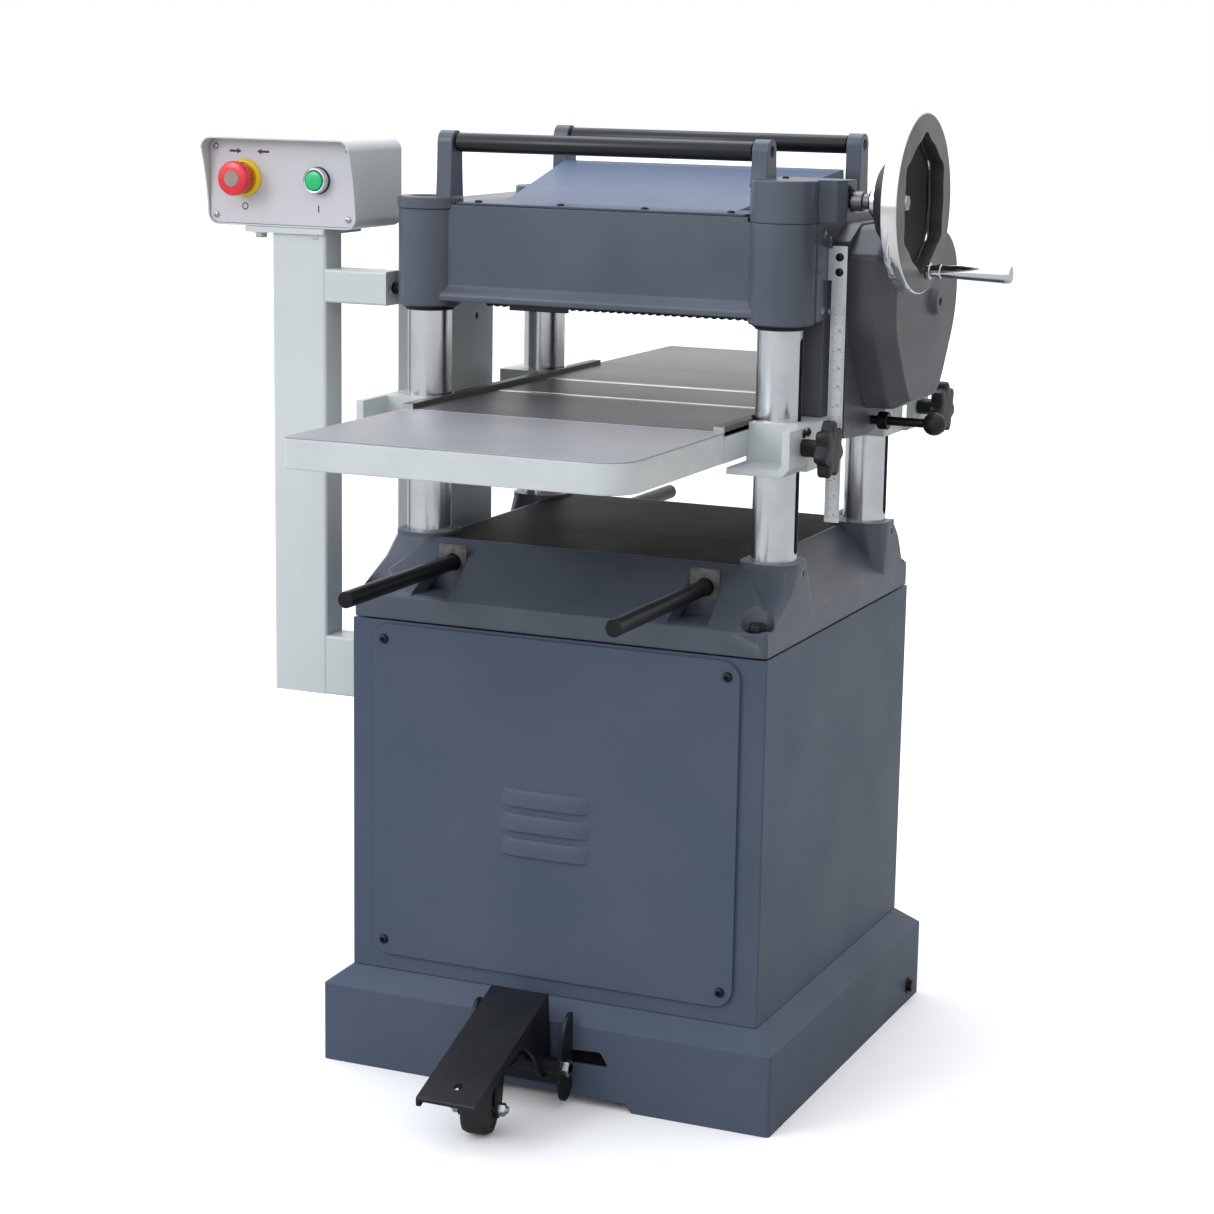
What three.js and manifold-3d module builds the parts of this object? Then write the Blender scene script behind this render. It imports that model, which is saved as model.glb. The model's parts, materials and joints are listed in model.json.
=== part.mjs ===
// Thickness planer with four columns: a fixed head over a table that rises on lead screws,
// a sheet-metal cabinet with the motor, and a base skirt with a pedal caster.
// Millimetres, +Z up, operator's side at -Y, feed runs toward +Y.
import * as THREE from 'three';
import { mergeVertices } from 'three/addons/utils/BufferGeometryUtils.js';
import Module from 'manifold-3d';

const wasm = await Module();
wasm.setup();

// ---------------------------------------------------------------- driving dimensions
const GAP = 0.3;                       // clearance between pieces that touch

const cabinetWidth = 494;
const cabinetDepth = 483;
const cabinetHeight = 405;
const sheet = 2.5;                     // cabinet sheet thickness
const skirtWidth = 546;
const skirtDepth = 530;
const skirtHeight = 91;                // upright part of the skirt
const skirtRise = 21;                  // height of its chamfer up to the cabinet
const skirtSheet = 4;
const archRise = 10;                   // front foot arch

const columnSpacingX = 420;
const columnSpacingY = 306;
const columnsCentreY = 25;
const columnRadius = 25;
const columnBore = 15;
const bossRadius = 35.5;
const throat = 255;                    // base boss tops to head boss bottoms

const bandHeight = 26;                 // upright band of the base casting
const slopeHeight = 55;                // its sloped flanks
const bossStand = 4;                   // column bosses above its deck
const wall = 9;                        // cast wall

const headHeight = 108;
const hoodRise = 41;

const tableWidth = 378;
const tableLength = 508;
const wingLength = 258;
const tableDepth = 33;
const tableHeight = 150;               // table top above the base boss tops, at rest
const lipWidth = 12;
const lipRise = 6;
const bedRollerRadius = 17;

const cutterRadius = 38;
const cutterLength = 336;
const feedRollerRadius = 27;
const feedRollerOffset = 77;           // feed rollers before and behind the cutterhead
const cutterAheadOfCentre = 16;        // cutterhead behind the columns' centre

const wheelRadius = 95;                // elevation handwheel
const wheelRim = 18;
const leadScrewRadius = 8;
const liftRodRadius = 9;
const returnRollerRadius = 10.5;
const pinRadius = 6;                   // pins at the return rollers' ends

const guardWidth = 48;
const postWidth = 70;
const postDepth = 40;
const boxWidth = 193;
const boxDepth = 110;
const boxHeight = 100;

const casterRadius = 28;
const casterYaw = 12;                  // degrees, how the caster is turned at rest
const pedalWidth = 69;
const rearWheelRadius = 20;

// ---------------------------------------------------------------- derived levels and places
const cabinetBottom = skirtHeight + skirtRise;
const cabinetTop = cabinetBottom + cabinetHeight;
const castingBottom = cabinetTop + 2;
const bandTop = castingBottom + bandHeight;
const deckTop = bandTop + slopeHeight;
const bossTop = deckTop + bossStand;
const headBottom = bossTop + throat;
const headTop = headBottom + headHeight;
const beamTop = headTop + 5;
const tableTop = bossTop + tableHeight;
const tableBottom = tableTop - tableDepth;
const columnX = columnSpacingX / 2;
const frontY = columnsCentreY - columnSpacingY / 2;
const rearY = columnsCentreY + columnSpacingY / 2;
const columns = [
  { name: 'lf', x: -columnX, y: frontY, side: -1, end: -1 },
  { name: 'rf', x: columnX, y: frontY, side: 1, end: -1 },
  { name: 'lr', x: -columnX, y: rearY, side: -1, end: 1 },
  { name: 'rr', x: columnX, y: rearY, side: 1, end: 1 },
];
const halfTable = tableWidth / 2;
const tableFront = columnsCentreY - 3 - tableLength / 2;
const tableRear = tableFront + tableLength;
const cutterY = columnsCentreY + cutterAheadOfCentre;
const cutterZ = headBottom + 3 + cutterRadius;
const infeedY = cutterY - feedRollerOffset;
const outfeedY = cutterY + feedRollerOffset;
const feedRollerZ = headBottom + 2 + feedRollerRadius;
const wallInner = columnX + 16;        // inner and outer faces of the head's side walls
const wallOuter = columnX + 36;
const rollerZ = beamTop + 68;          // return roller axis
const rollerHalf = 175;

// ---------------------------------------------------------------- shape helpers
/** A closed three.js geometry as a manifold solid. */
function solid(geometry) {
  const g = geometry.clone();
  g.deleteAttribute('normal');
  g.deleteAttribute('uv');
  const merged = mergeVertices(g, 1e-4);
  return new wasm.Manifold(new wasm.Mesh({
    numProp: 3,
    vertProperties: new Float32Array(merged.attributes.position.array),
    triVerts: new Uint32Array(merged.index.array),
  }));
}

const join = (first, ...rest) => rest.reduce((a, b) => a.add(b), first);
const cut = (first, ...rest) => rest.reduce((a, b) => a.subtract(b), first);

/** A block between two corners. */
function block(x0, x1, y0, y1, z0, z1) {
  const g = new THREE.BoxGeometry(x1 - x0, y1 - y0, z1 - z0);
  return solid(g.translate((x0 + x1) / 2, (y0 + y1) / 2, (z0 + z1) / 2));
}

/** A block mirrored to the left when side is -1. */
function sideBlock(side, x0, x1, y0, y1, z0, z1) {
  return side > 0 ? block(x0, x1, y0, y1, z0, z1) : block(-x1, -x0, y0, y1, z0, z1);
}

/** A frustum from one rectangle at z0 to another at z1; a rectangle is [x0, x1, y0, y1]. */
function taper(low, z0, high, z1) {
  const g = new THREE.BoxGeometry(1, 1, 1);
  const p = g.attributes.position;
  for (let i = 0; i < p.count; i++) {
    const r = p.getZ(i) > 0 ? high : low;
    p.setXYZ(i, p.getX(i) > 0 ? r[1] : r[0], p.getY(i) > 0 ? r[3] : r[2], p.getZ(i) > 0 ? z1 : z0);
  }
  return solid(g);
}

/** Turns a geometry whose axis is +Z so that the axis is X or Y, and moves it. */
function aim(g, axis, x, y, z) {
  if (axis === 'x') g.applyMatrix4(new THREE.Matrix4().set(0, 0, 1, 0, 1, 0, 0, 0, 0, 1, 0, 0, 0, 0, 0, 1));
  if (axis === 'y') g.rotateX(-Math.PI / 2);
  return g.translate(x, y, z);
}

/** A round bar along an axis from one coordinate to another; the centre gives the other two. */
function bar(axis, radius, from, to, cx, cy, segments = 16) {
  const g = new THREE.CylinderGeometry(radius, radius, to - from, segments);
  g.rotateX(Math.PI / 2);
  const mid = (from + to) / 2;
  if (axis === 'x') return solid(aim(g, 'x', mid, cx, cy));
  if (axis === 'y') return solid(aim(g, 'y', cx, mid, cy));
  return solid(g.translate(cx, cy, mid));
}

/** A turned piece: its profile is [radius, distance along the axis] and starts and ends on the axis. */
function turned(axis, profile, x, y, z, segments = 24) {
  const g = new THREE.LatheGeometry(profile.map(([r, t]) => new THREE.Vector2(r, t)), segments);
  g.rotateX(Math.PI / 2);
  return solid(aim(g, axis, x, y, z));
}

/** An outline pushed along an axis. It is (y, z) for axis x, (x, z) for y and (x, y) for z. */
function prism(axis, outline, from, to, curveSegments = 4) {
  const shape = Array.isArray(outline)
    ? new THREE.Shape(outline.map(([u, v]) => new THREE.Vector2(u, v))) : outline;
  const g = new THREE.ExtrudeGeometry(shape, { depth: to - from, bevelEnabled: false, curveSegments });
  if (axis === 'x') return solid(aim(g, 'x', from, 0, 0));
  if (axis === 'y') return solid(g.rotateX(Math.PI / 2).translate(0, to, 0));
  return solid(g.translate(0, 0, from));
}

/** A rectangle with rounded corners; radii run from the corner (u0, v0) counter-clockwise. */
function rounded(u0, u1, v0, v1, r0, r1 = r0, r2 = r0, r3 = r0) {
  const s = new THREE.Shape();
  s.moveTo(u0 + r0, v0);
  s.lineTo(u1 - r1, v0);
  if (r1) s.absarc(u1 - r1, v0 + r1, r1, -Math.PI / 2, 0);
  s.lineTo(u1, v1 - r2);
  if (r2) s.absarc(u1 - r2, v1 - r2, r2, 0, Math.PI / 2);
  s.lineTo(u0 + r3, v1);
  if (r3) s.absarc(u0 + r3, v1 - r3, r3, Math.PI / 2, Math.PI);
  s.lineTo(u0, v0 + r0);
  if (r0) s.absarc(u0 + r0, v0 + r0, r0, Math.PI, 1.5 * Math.PI);
  return s;
}

/** A lug with a round head: a plate across X whose outline narrows to the head around (y, z). */
function lug(x0, x1, y, z, headRadius, baseHalf, baseZ) {
  const s = new THREE.Shape();
  s.moveTo(y - baseHalf, baseZ);
  s.lineTo(y + baseHalf, baseZ);
  s.absarc(y, z, headRadius, 0, Math.PI);
  s.closePath();
  return prism('x', s, x0, x1, 6);
}

const planer = new THREE.Group();

/** Adds a solid to the planer as a named mesh with a finish of its own. */
function add(name, body, finish) {
  const mesh = body.getMesh();
  const g = new THREE.BufferGeometry();
  g.setAttribute('position', new THREE.BufferAttribute(new Float32Array(mesh.vertProperties), 3));
  g.setIndex(new THREE.BufferAttribute(new Uint32Array(mesh.triVerts), 1));
  g.computeVertexNormals();
  const node = new THREE.Mesh(g, new THREE.MeshStandardMaterial(finish));
  node.name = name;
  planer.add(node);
  return node;
}

const slateEnamel = { color: 0x4b5260, roughness: 0.38, metalness: 0.1 };
const paleEnamel = { color: 0xd3dcdb, roughness: 0.4, metalness: 0.05 };
const groundIron = { color: 0x8f8e90, roughness: 0.35, metalness: 0.9 };
const steel = { color: 0xb4b2ae, roughness: 0.25, metalness: 1 };
const blackSteel = { color: 0x1e2023, roughness: 0.45, metalness: 0.4 };
const blackPlastic = { color: 0x25272b, roughness: 0.5, metalness: 0 };
const rubber = { color: 0x17181a, roughness: 0.8, metalness: 0 };

// ---------------------------------------------------------------- base skirt
function makeSkirt() {
  const w = skirtWidth / 2;
  const d = skirtDepth / 2;
  const cw = cabinetWidth / 2;
  const cd = cabinetDepth / 2;
  const t = skirtSheet;
  const outer = join(
    block(-w, w, -d, d, 0, skirtHeight),
    taper([-w, w, -d, d], skirtHeight, [-cw, cw, -cd, cd], cabinetBottom - GAP),
  );
  const inner = join(
    block(-w + t, w - t, -d + t, d - t, -1, skirtHeight - 2),
    taper([-w + t, w - t, -d + t, d - t], skirtHeight - 2, [-cw + t, cw - t, -cd + t, cd - t], cabinetBottom - t),
    block(-cw + 40, cw - 40, -cd + 40, cd - 40, cabinetBottom - t - 1, cabinetBottom + 1),
  );
  const archIn = 158;                  // how far in from the corners the front arch starts
  const arch = prism('y', [[-w + archIn, -1], [w - archIn, -1], [w - archIn - 9, archRise], [-w + archIn + 9, archRise]],
    -d - 1, -d + t + 1);
  const latch = prism('y', [[36, 47], [84, 48], [74, 64], [36, 62]], -d - 1, -d + t + 1);
  const stubs = [-1, 1].map((s) => (s > 0 ? bar('x', 5, 240, w - 1, rearAxle.y, rearAxle.z, 16)
    : bar('x', 5, -w + 1, -240, rearAxle.y, rearAxle.z, 16)));
  return join(cut(outer, inner, arch, latch), ...stubs);
}

const rearAxle = { y: 222, z: rearWheelRadius + 1 };
add('base_skirt', makeSkirt(), slateEnamel);

for (const [name, s] of [['rear_wheel_left', -1], ['rear_wheel_right', 1]]) {
  const wheel = cut(
    bar('x', rearWheelRadius, 244, 264, rearAxle.y, rearAxle.z, 20),
    bar('x', 5 + GAP + 0.2, 243, 265, rearAxle.y, rearAxle.z, 16),
  );
  add(name, s > 0 ? wheel : wheel.mirror([1, 0, 0]), rubber);
}

// ---------------------------------------------------------------- pedal and caster
const pedal = {
  x: -16.5, pinY: -285, pinZ: 48, rearY: -280, rearZ: 128, frontY: -461, frontZ: 60, thickness: 5, wall: 4,
};
const swivel = { x: pedal.x, y: -365, crownTop: 71.5, trail: 25 };

function makePedalBracket() {
  const face = -skirtDepth / 2 - GAP;
  const half = 55.5;
  const cheek = [[face, 106], [face, 20], [-275, 9], [-284, 8], [-293, 14], [-300, 46], [-288, 92], [-276, 106]];
  const cheeks = [-1, 1].map((s) => prism('x', cheek, pedal.x + s * half - 2, pedal.x + s * half + 2));
  return join(
    block(pedal.x - half - 2, pedal.x + half + 2, face - 4, face, 20, 40),
    ...cheeks,
    bar('x', 6, pedal.x - half - 9, pedal.x + half + 9, pedal.pinY, pedal.pinZ, 12),
  );
}

function makePedal() {
  const { x, rearY: y0, rearZ: z0, frontY: y1, frontZ: z1, thickness: t } = pedal;
  const half = pedalWidth / 2;
  const drop = (y) => z0 + ((z1 - z0) * (y - y0)) / (y1 - y0);
  const plate = prism('x', [[y0, z0], [y0, z0 - t], [y1, z1 - t], [y1, z1]], x - half, x + half);
  const flange = [
    [y0, z0], [y0 + 6, 70], [y0 + 6, 40], [pedal.pinY - 2, 33], [-301, 40], [-312, 64], [-345, drop(-345) - 13],
    [y1, z1 - 12], [y1, z1],
  ];
  const flanges = [-1, 1].map((s) => (s > 0 ? prism('x', flange, x + half - pedal.wall, x + half)
    : prism('x', flange, x - half, x - half + pedal.wall)));
  const mount = block(x - half + 1, x + half - 1, swivel.y - 28, swivel.y + 28, swivel.crownTop + 1, swivel.crownTop + 5);
  const low = swivel.crownTop + 3;
  const stem = prism('x', [[swivel.y - 2, low], [swivel.y + 26, low], [swivel.y + 26, drop(swivel.y + 26) - 2],
    [swivel.y - 2, drop(swivel.y - 2) - 2]], x - 20, x + 20);
  const bolt = join(
    bar('z', 6, swivel.crownTop - 9, swivel.crownTop + 4, swivel.x, swivel.y, 10),
    bar('z', 10, swivel.crownTop - 10, swivel.crownTop - 5.5, swivel.x, swivel.y, 6),
  );
  return cut(
    join(plate, ...flanges, mount, stem, bolt, bar('x', 9.5, x - half - 18, x + half + 18, pedal.pinY, pedal.pinZ, 12)),
    bar('x', 6 + GAP + 0.2, x - half - 19, x + half + 19, pedal.pinY, pedal.pinZ, 12),
    bar('z', 5, 50, 90, x + 3, -436, 8),
  );
}

function makeCaster() {
  const turn = (m) => m.translate([0, -swivel.trail, 0]).rotate([0, 0, casterYaw]).translate([swivel.x, swivel.y, 0]);
  const axleZ = casterRadius + 2;
  const legHalf = 20;
  const crown = bar('z', 24, swivel.crownTop - 4.5, swivel.crownTop - 0.5, 0, swivel.trail, 14);
  const bridge = block(-legHalf - 3, legHalf + 3, -3, swivel.trail, swivel.crownTop - 4.5, swivel.crownTop - 0.5);
  const leg = [[-9, axleZ], [-7, axleZ - 9], [7, axleZ - 9], [10, axleZ], [swivel.trail - 2, swivel.crownTop - 1],
    [-3, swivel.crownTop - 1]];
  const legs = [-1, 1].map((s) => prism('x', leg, s * legHalf - 3, s * legHalf + 3));
  const axle = bar('x', 4, -legHalf - 12, legHalf + 12, 0, axleZ, 8);
  const nuts = [-1, 1].map((s) => bar('x', 7.5, s * (legHalf + 7) - 4, s * (legHalf + 7) + 4, 0, axleZ, 6));
  const yoke = cut(join(crown, bridge, ...legs, axle, ...nuts), bar('z', 6 + GAP + 0.2, 50, 80, 0, swivel.trail, 12));
  const wheel = cut(
    turned('x', [[0, -16.5], [casterRadius - 4, -16.5], [casterRadius, -12], [casterRadius, 12],
      [casterRadius - 4, 16.5], [0, 16.5]], 0, 0, axleZ, 20),
    bar('x', 4 + GAP + 0.2, -20, 20, 0, axleZ, 8),
  );
  return { yoke: turn(yoke), wheel: turn(wheel) };
}

add('pedal_bracket', makePedalBracket(), blackSteel);
add('foot_pedal', makePedal(), blackSteel);
const caster = makeCaster();
add('caster_yoke', caster.yoke, blackSteel);
add('caster_wheel', caster.wheel, rubber);

// ---------------------------------------------------------------- cabinet, motor and belt drive
const motorAxis = { y: 66, z: 330 };
const panel = { half: 219, bottom: 131, top: 514, thickness: 4, radius: 22 };
const guardInner = cabinetWidth / 2 + 17;

function makeCabinet() {
  const w = cabinetWidth / 2;
  const d = cabinetDepth / 2;
  const t = sheet;
  const shell = cut(
    block(-w, w, -d, d, cabinetBottom, cabinetTop),
    block(-w + t, w - t, -d + t, d - t, cabinetBottom + t, cabinetTop - t),
    block(-w + 35, w - 35, -d + 35, d - 35, cabinetBottom - 1, cabinetBottom + 5),
    block(-w + 25, w - 25, -d + 25, d - 25, cabinetTop - 5, cabinetTop + 1),
    block(-panel.half + 22, panel.half - 22, -d - 1, -d + t + 1, panel.bottom + 22, panel.top - 22),
    bar('x', 30, -w - 1, -w + t + 1, motorAxis.y, motorAxis.z, 24),
  );
  const shelf = block(-w + t - 1, w - t + 1, motorAxis.y - 70, motorAxis.y + 70, motorAxis.z - 96, motorAxis.z - 90);
  return join(shell, shelf);
}

function makePanel() {
  const y1 = -cabinetDepth / 2 - GAP;
  const plate = prism('y', rounded(-panel.half, panel.half, panel.bottom, panel.top, panel.radius), y1 - panel.thickness, y1);
  const rows = [278, 306, 334];
  const louvres = rows.map((z) => prism('x', [[y1 - 1, z - 8], [y1 - panel.thickness - 5, z - 8],
    [y1 - panel.thickness - 4, z - 2], [y1 - 1, z + 12]], -59, 48));
  const slots = rows.map((z) => prism('x', [[y1 + 1, z - 9], [y1 - panel.thickness - 3, z - 9],
    [y1 - panel.thickness - 2.5, z - 4], [y1 + 1, z + 4]], -56, 45));
  return cut(join(plate, ...louvres), ...slots);
}

function makeMotor() {
  const { y, z } = motorAxis;
  const can = turned('x', [[0, -150], [70, -150], [84, -138], [84, 110], [70, 122], [0, 122]], 0, y, z, 20);
  const foot = block(-90, 90, y - 62, y + 62, z - 90 + GAP, z - 70);
  return join(can, foot, block(-60, 40, y + 60, y + 110, z + 10, z + 70));
}

function makeMotorPulley() {
  const { y, z } = motorAxis;
  const x0 = -guardInner - guardWidth + 8;
  return join(
    turned('x', [[0, 0], [38, 0], [34, 15], [38, 30], [0, 30]], x0, y, z, 20),
    bar('x', 12, x0 + 20, -151, y, z, 16),
  );
}

/** The outline of a belt that runs round two pulleys in the YZ plane. */
function beltLoop(radius, low, high) {
  const s = new THREE.Shape();
  const lean = Math.atan2(high.y - low.y, high.z - low.z);
  s.absarc(low.y, low.z, radius, Math.PI - lean, 2 * Math.PI - lean);
  s.absarc(high.y, high.z, radius, -lean, Math.PI - lean);
  s.closePath();
  return s;
}

const cutterAxis = { y: cutterY, z: cutterZ };
function makeBelt() {
  const x0 = -guardInner - guardWidth + 9;
  return cut(
    prism('x', beltLoop(45, motorAxis, cutterAxis), x0, x0 + 28, 8),
    prism('x', beltLoop(38.9, motorAxis, cutterAxis), x0 - 1, x0 + 29, 8),
  );
}

function makeBeltGuard() {
  const x1 = -guardInner;
  const x0 = x1 - guardWidth;
  const y0 = -12;
  const y1 = 144;
  const z0 = 262;
  const z1 = cutterZ + 60;
  const t = 2;
  const flangeZ = motorAxis.z + 90;
  return cut(
    join(
      prism('x', rounded(y0, y1, z0, z1, 18), x0, x1),
      block(x1 - 1, -cabinetWidth / 2 - GAP, y0 + 20, y1 - 20, z0 + 20, flangeZ),
      ...[y0 + 24, y1 - 24].map((y) => bar('x', 6, x1 - 1, -wallOuter - GAP, y, cutterZ + 38, 8)),
    ),
    block(x1 - t - 1, -cabinetWidth / 2 + 1, y0 + 24, y1 - 24, z0 + 24, flangeZ - 4),
    prism('x', rounded(y0 + t, y1 - t, z0 + t, z1 - t, 16), x0 + t, x1 - t),
    bar('x', 20, x1 - t - 1, x1 + 1, cutterY, cutterZ, 14),
    bar('x', 4, x1 - t - 1, x1 + 1, y1 - 44, headBottom - 34, 8),
  );
}

add('cabinet_shell', makeCabinet(), slateEnamel);
add('access_panel', makePanel(), slateEnamel);
add('motor', makeMotor(), blackSteel);
add('motor_pulley', makeMotorPulley(), blackSteel);
add('drive_belt', makeBelt(), rubber);
add('belt_guard', makeBeltGuard(), paleEnamel);

// ---------------------------------------------------------------- base casting, columns and screws
const frontRod = { x: 152, tip: -430, inner: -130 };
const rearRod = { x: 132, tip: 405, inner: 115 };
const rodZ = deckTop - 22;
const sprocketZ = castingBottom + 2;

function makeBaseCasting() {
  const bw = cabinetWidth / 2 - 1;
  const bd = cabinetDepth / 2 - 1;
  const deck = [-190, 190, -155, 205];
  const flank = taper([-bw, bw, -bd, bd], bandTop, deck, deckTop);
  let body = join(block(-bw, bw, -bd, bd, castingBottom, bandTop + 0.5), flank);
  body = cut(
    body,
    block(-bw + wall, bw - wall, -bd + wall, bd - wall, castingBottom - 1, bandTop - wall / 2),
    taper([-bw + wall, bw - wall, -bd + wall, bd - wall], bandTop - wall / 2 - 1,
      [deck[0] + 4, deck[1] - 4, deck[2] + 4, deck[3] - 4], deckTop - 10),
  );
  const bossHalf = columnX + 33;
  const bosses = columns.map((c) => bar('z', bossRadius, bandTop - 12, bossTop, c.x, c.y, 20)
    .intersect(block(-bossHalf, bossHalf, -400, 400, 0, 900)));
  const reach = { front: [-bd + 1, -140], rear: [175, bd - 1] };
  const cheeks = [-1, 1].flatMap((s) => [
    sideBlock(s, frontRod.x - 27, frontRod.x + 20, ...reach.front, bandTop - 4, deckTop - 1),
    sideBlock(s, rearRod.x - 27, rearRod.x + 27, ...reach.rear, bandTop - 4, deckTop - 1),
  ]).map((b) => b.intersect(join(flank, block(-bw, bw, -bd, bd, castingBottom, bandTop + 0.5))));
  body = join(body, ...bosses, ...cheeks);
  const pockets = [-1, 1].flatMap((s) => [
    sideBlock(s, frontRod.x - 19, frontRod.x + 19, -bd - 5, -182, bandTop + 2, deckTop + 5),
    sideBlock(s, rearRod.x - 19, rearRod.x + 19, 214, bd + 5, bandTop + 2, deckTop + 5),
    bar('y', liftRodRadius + GAP + 0.1, -200, -100, s * frontRod.x, rodZ, 12),
    bar('y', liftRodRadius + GAP + 0.1, 100, 230, s * rearRod.x, rodZ, 12),
  ]);
  const bores = columns.flatMap((c) => [
    bar('z', columnRadius + GAP, bandTop, bossTop + 1, c.x, c.y, 20),
    bar('z', leadScrewRadius + 1, castingBottom, bandTop + 1, c.x, c.y, 12),
  ]);
  const boltSeats = columns.map((c) => bar('z', 15, bandTop - 3, deckTop, c.side * 228, c.end < 0 ? -222 : 222, 10));
  return cut(body, ...pockets, ...bores, ...boltSeats);
}

function makeColumn({ x, y, side }) {
  const z0 = bandTop + 1;
  const z1 = headTop - 11;
  const slot = 5.5;
  const slotLow = bossTop + 8;
  const slotHigh = headBottom - 13;
  const slotOutline = new THREE.Shape();
  slotOutline.absarc(y, slotHigh - slot, slot, 0, Math.PI);
  slotOutline.absarc(y, slotLow + slot, slot, Math.PI, 2 * Math.PI);
  slotOutline.closePath();
  const slotCut = side > 0 ? prism('x', slotOutline, x, x + columnRadius + 1)
    : prism('x', slotOutline, x - columnRadius - 1, x);
  return cut(bar('z', columnRadius, z0, z1, x, y, 20), bar('z', columnBore, z0 - 1, z1 + 1, x, y, 12), slotCut);
}

function makeLeadScrew({ name, x, y }) {
  const top = name === 'rf' ? headTop + 30 : headTop - 14;
  const screw = bar('z', leadScrewRadius, sprocketZ + 2, top, x, y, 12);
  const sprocket = bar('z', 18, sprocketZ, sprocketZ + 8, x, y, 14);
  const wormWheel = bar('z', 29, headTop + 15, headTop + 29, x, y, 20);
  return name === 'rf' ? join(screw, sprocket, wormWheel) : join(screw, sprocket);
}

function makeChain() {
  const loop = (r) => rounded(-columnX - r, columnX + r, frontY - r, rearY + r, r);
  return cut(prism('z', loop(24.5), sprocketZ + 1, sprocketZ + 7), prism('z', loop(18.5), sprocketZ, sprocketZ + 8));
}

add('base_casting', makeBaseCasting(), slateEnamel);
for (const c of columns) {
  add(`column_${c.name}`, makeColumn(c), steel);
  add(`leadscrew_${c.name}`, makeLeadScrew(c), steel);
}
add('elevation_chain', makeChain(), blackSteel);
for (const [s, label] of [[-1, 'left'], [1, 'right']]) {
  add(`lifting_rod_front_${label}`, bar('y', liftRodRadius, frontRod.tip, frontRod.inner, s * frontRod.x, rodZ), blackSteel);
  add(`lifting_rod_rear_${label}`, bar('y', liftRodRadius, rearRod.inner, rearRod.tip, s * rearRod.x, rodZ), blackSteel);
}

// ---------------------------------------------------------------- head casting and what stands on it
const beamFront = frontY - 17;
const capRadius = 37;
const wormAxis = { y: frontY + 45, z: headTop + 23 };

function makeHead() {
  const span = columnX - 20;
  const bosses = columns.map((c) => bar('z', bossRadius, headBottom, headTop, c.x, c.y, 20));
  const deck = cut(
    block(-wallInner - 1, wallInner + 1, beamFront + 10, rearY + 10, beamTop - 9, beamTop),
    block(-150, 150, beamFront + 40, rearY - 45, beamTop - 10, beamTop + 1),
  );
  const frontBeam = block(-span, span, beamFront, beamFront + 14, headBottom + 7, beamTop);
  const lip = prism('x', [[beamFront + 1, headBottom + 7], [beamFront - 7, headBottom + 7], [beamFront - 7, headBottom + 13],
    [beamFront + 1, headBottom + 19]], -span, span);
  const rearBeam = block(-span, span, rearY + 5, rearY + 17, headBottom + 7, beamTop);
  const walls = [-1, 1].map((s) => sideBlock(s, wallInner, wallOuter, frontY + 10, rearY - 10, headBottom + 3, beamTop));
  const bores = columns.map((c) => bar('z', columnRadius + GAP, headBottom - 1, headTop - 10, c.x, c.y, 20));
  const screwHole = bar('z', leadScrewRadius + 1, headTop - 12, headTop + 1, columnX, frontY);
  const seats = columns.map((c) => bar('z', capRadius + GAP, headTop, beamTop + 1, c.x, c.y, 20));
  const gearboxSeat = block(columnX - 34, wallOuter + 1, frontY - 40, wormAxis.y + 18, headTop, beamTop + 1);
  const bearings = [
    bar('x', 15 + GAP, -260, 260, cutterY, cutterZ),
    bar('x', 10 + GAP, -260, 260, infeedY, feedRollerZ, 14),
    bar('x', 10 + GAP, -260, 260, outfeedY, feedRollerZ, 14),
    bar('x', 7 + GAP + 0.2, -234, 234, fingerAxis.y, fingerAxis.z, 10),
  ];
  return cut(join(...bosses, deck, frontBeam, lip, rearBeam, ...walls), ...bores, screwHole, ...seats, gearboxSeat,
    ...bearings);
}

/** The chip deflector: a flanged sheet ramp with side cheeks, open at the rear where the chips leave. */
function makeHood() {
  const z0 = beamTop + GAP;
  const t = 2.5;
  const low = { y: frontY + 28, left: -136, right: 138 };
  const high = { y: rearY - 38, left: -168, right: 183, z: z0 + hoodRise };
  const plan = (m) => [[low.left + m, low.y + m], [low.right - m, low.y + m], [high.right - m, high.y + (m ? 1 : 0)],
    [high.left + m, high.y + (m ? 1 : 0)]];
  const ramp = (m) => [[low.y - 1, z0 - 2], [high.y + 2, z0 - 2], [high.y + 2, high.z - m], [low.y + 14, z0 + 7 - m],
    [low.y + 6, z0 + 4 - m], [low.y - 1, z0 + t - m + 0.2]];
  const outer = prism('x', ramp(0), -200, 200).intersect(prism('z', plan(0), z0, high.z + 1));
  const inner = prism('x', ramp(t), -200, 200).intersect(prism('z', plan(t), z0 - 2, high.z + 1));
  const flange = prism('z', [[-172, beamFront + 3], [172, beamFront + 3], [172, low.y], [high.right, high.y],
    [-172, high.y]], z0, z0 + t);
  return cut(join(outer, flange), inner, block(-300, 300, high.y, high.y + 5, z0 - 3, high.z + 2));
}

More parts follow.
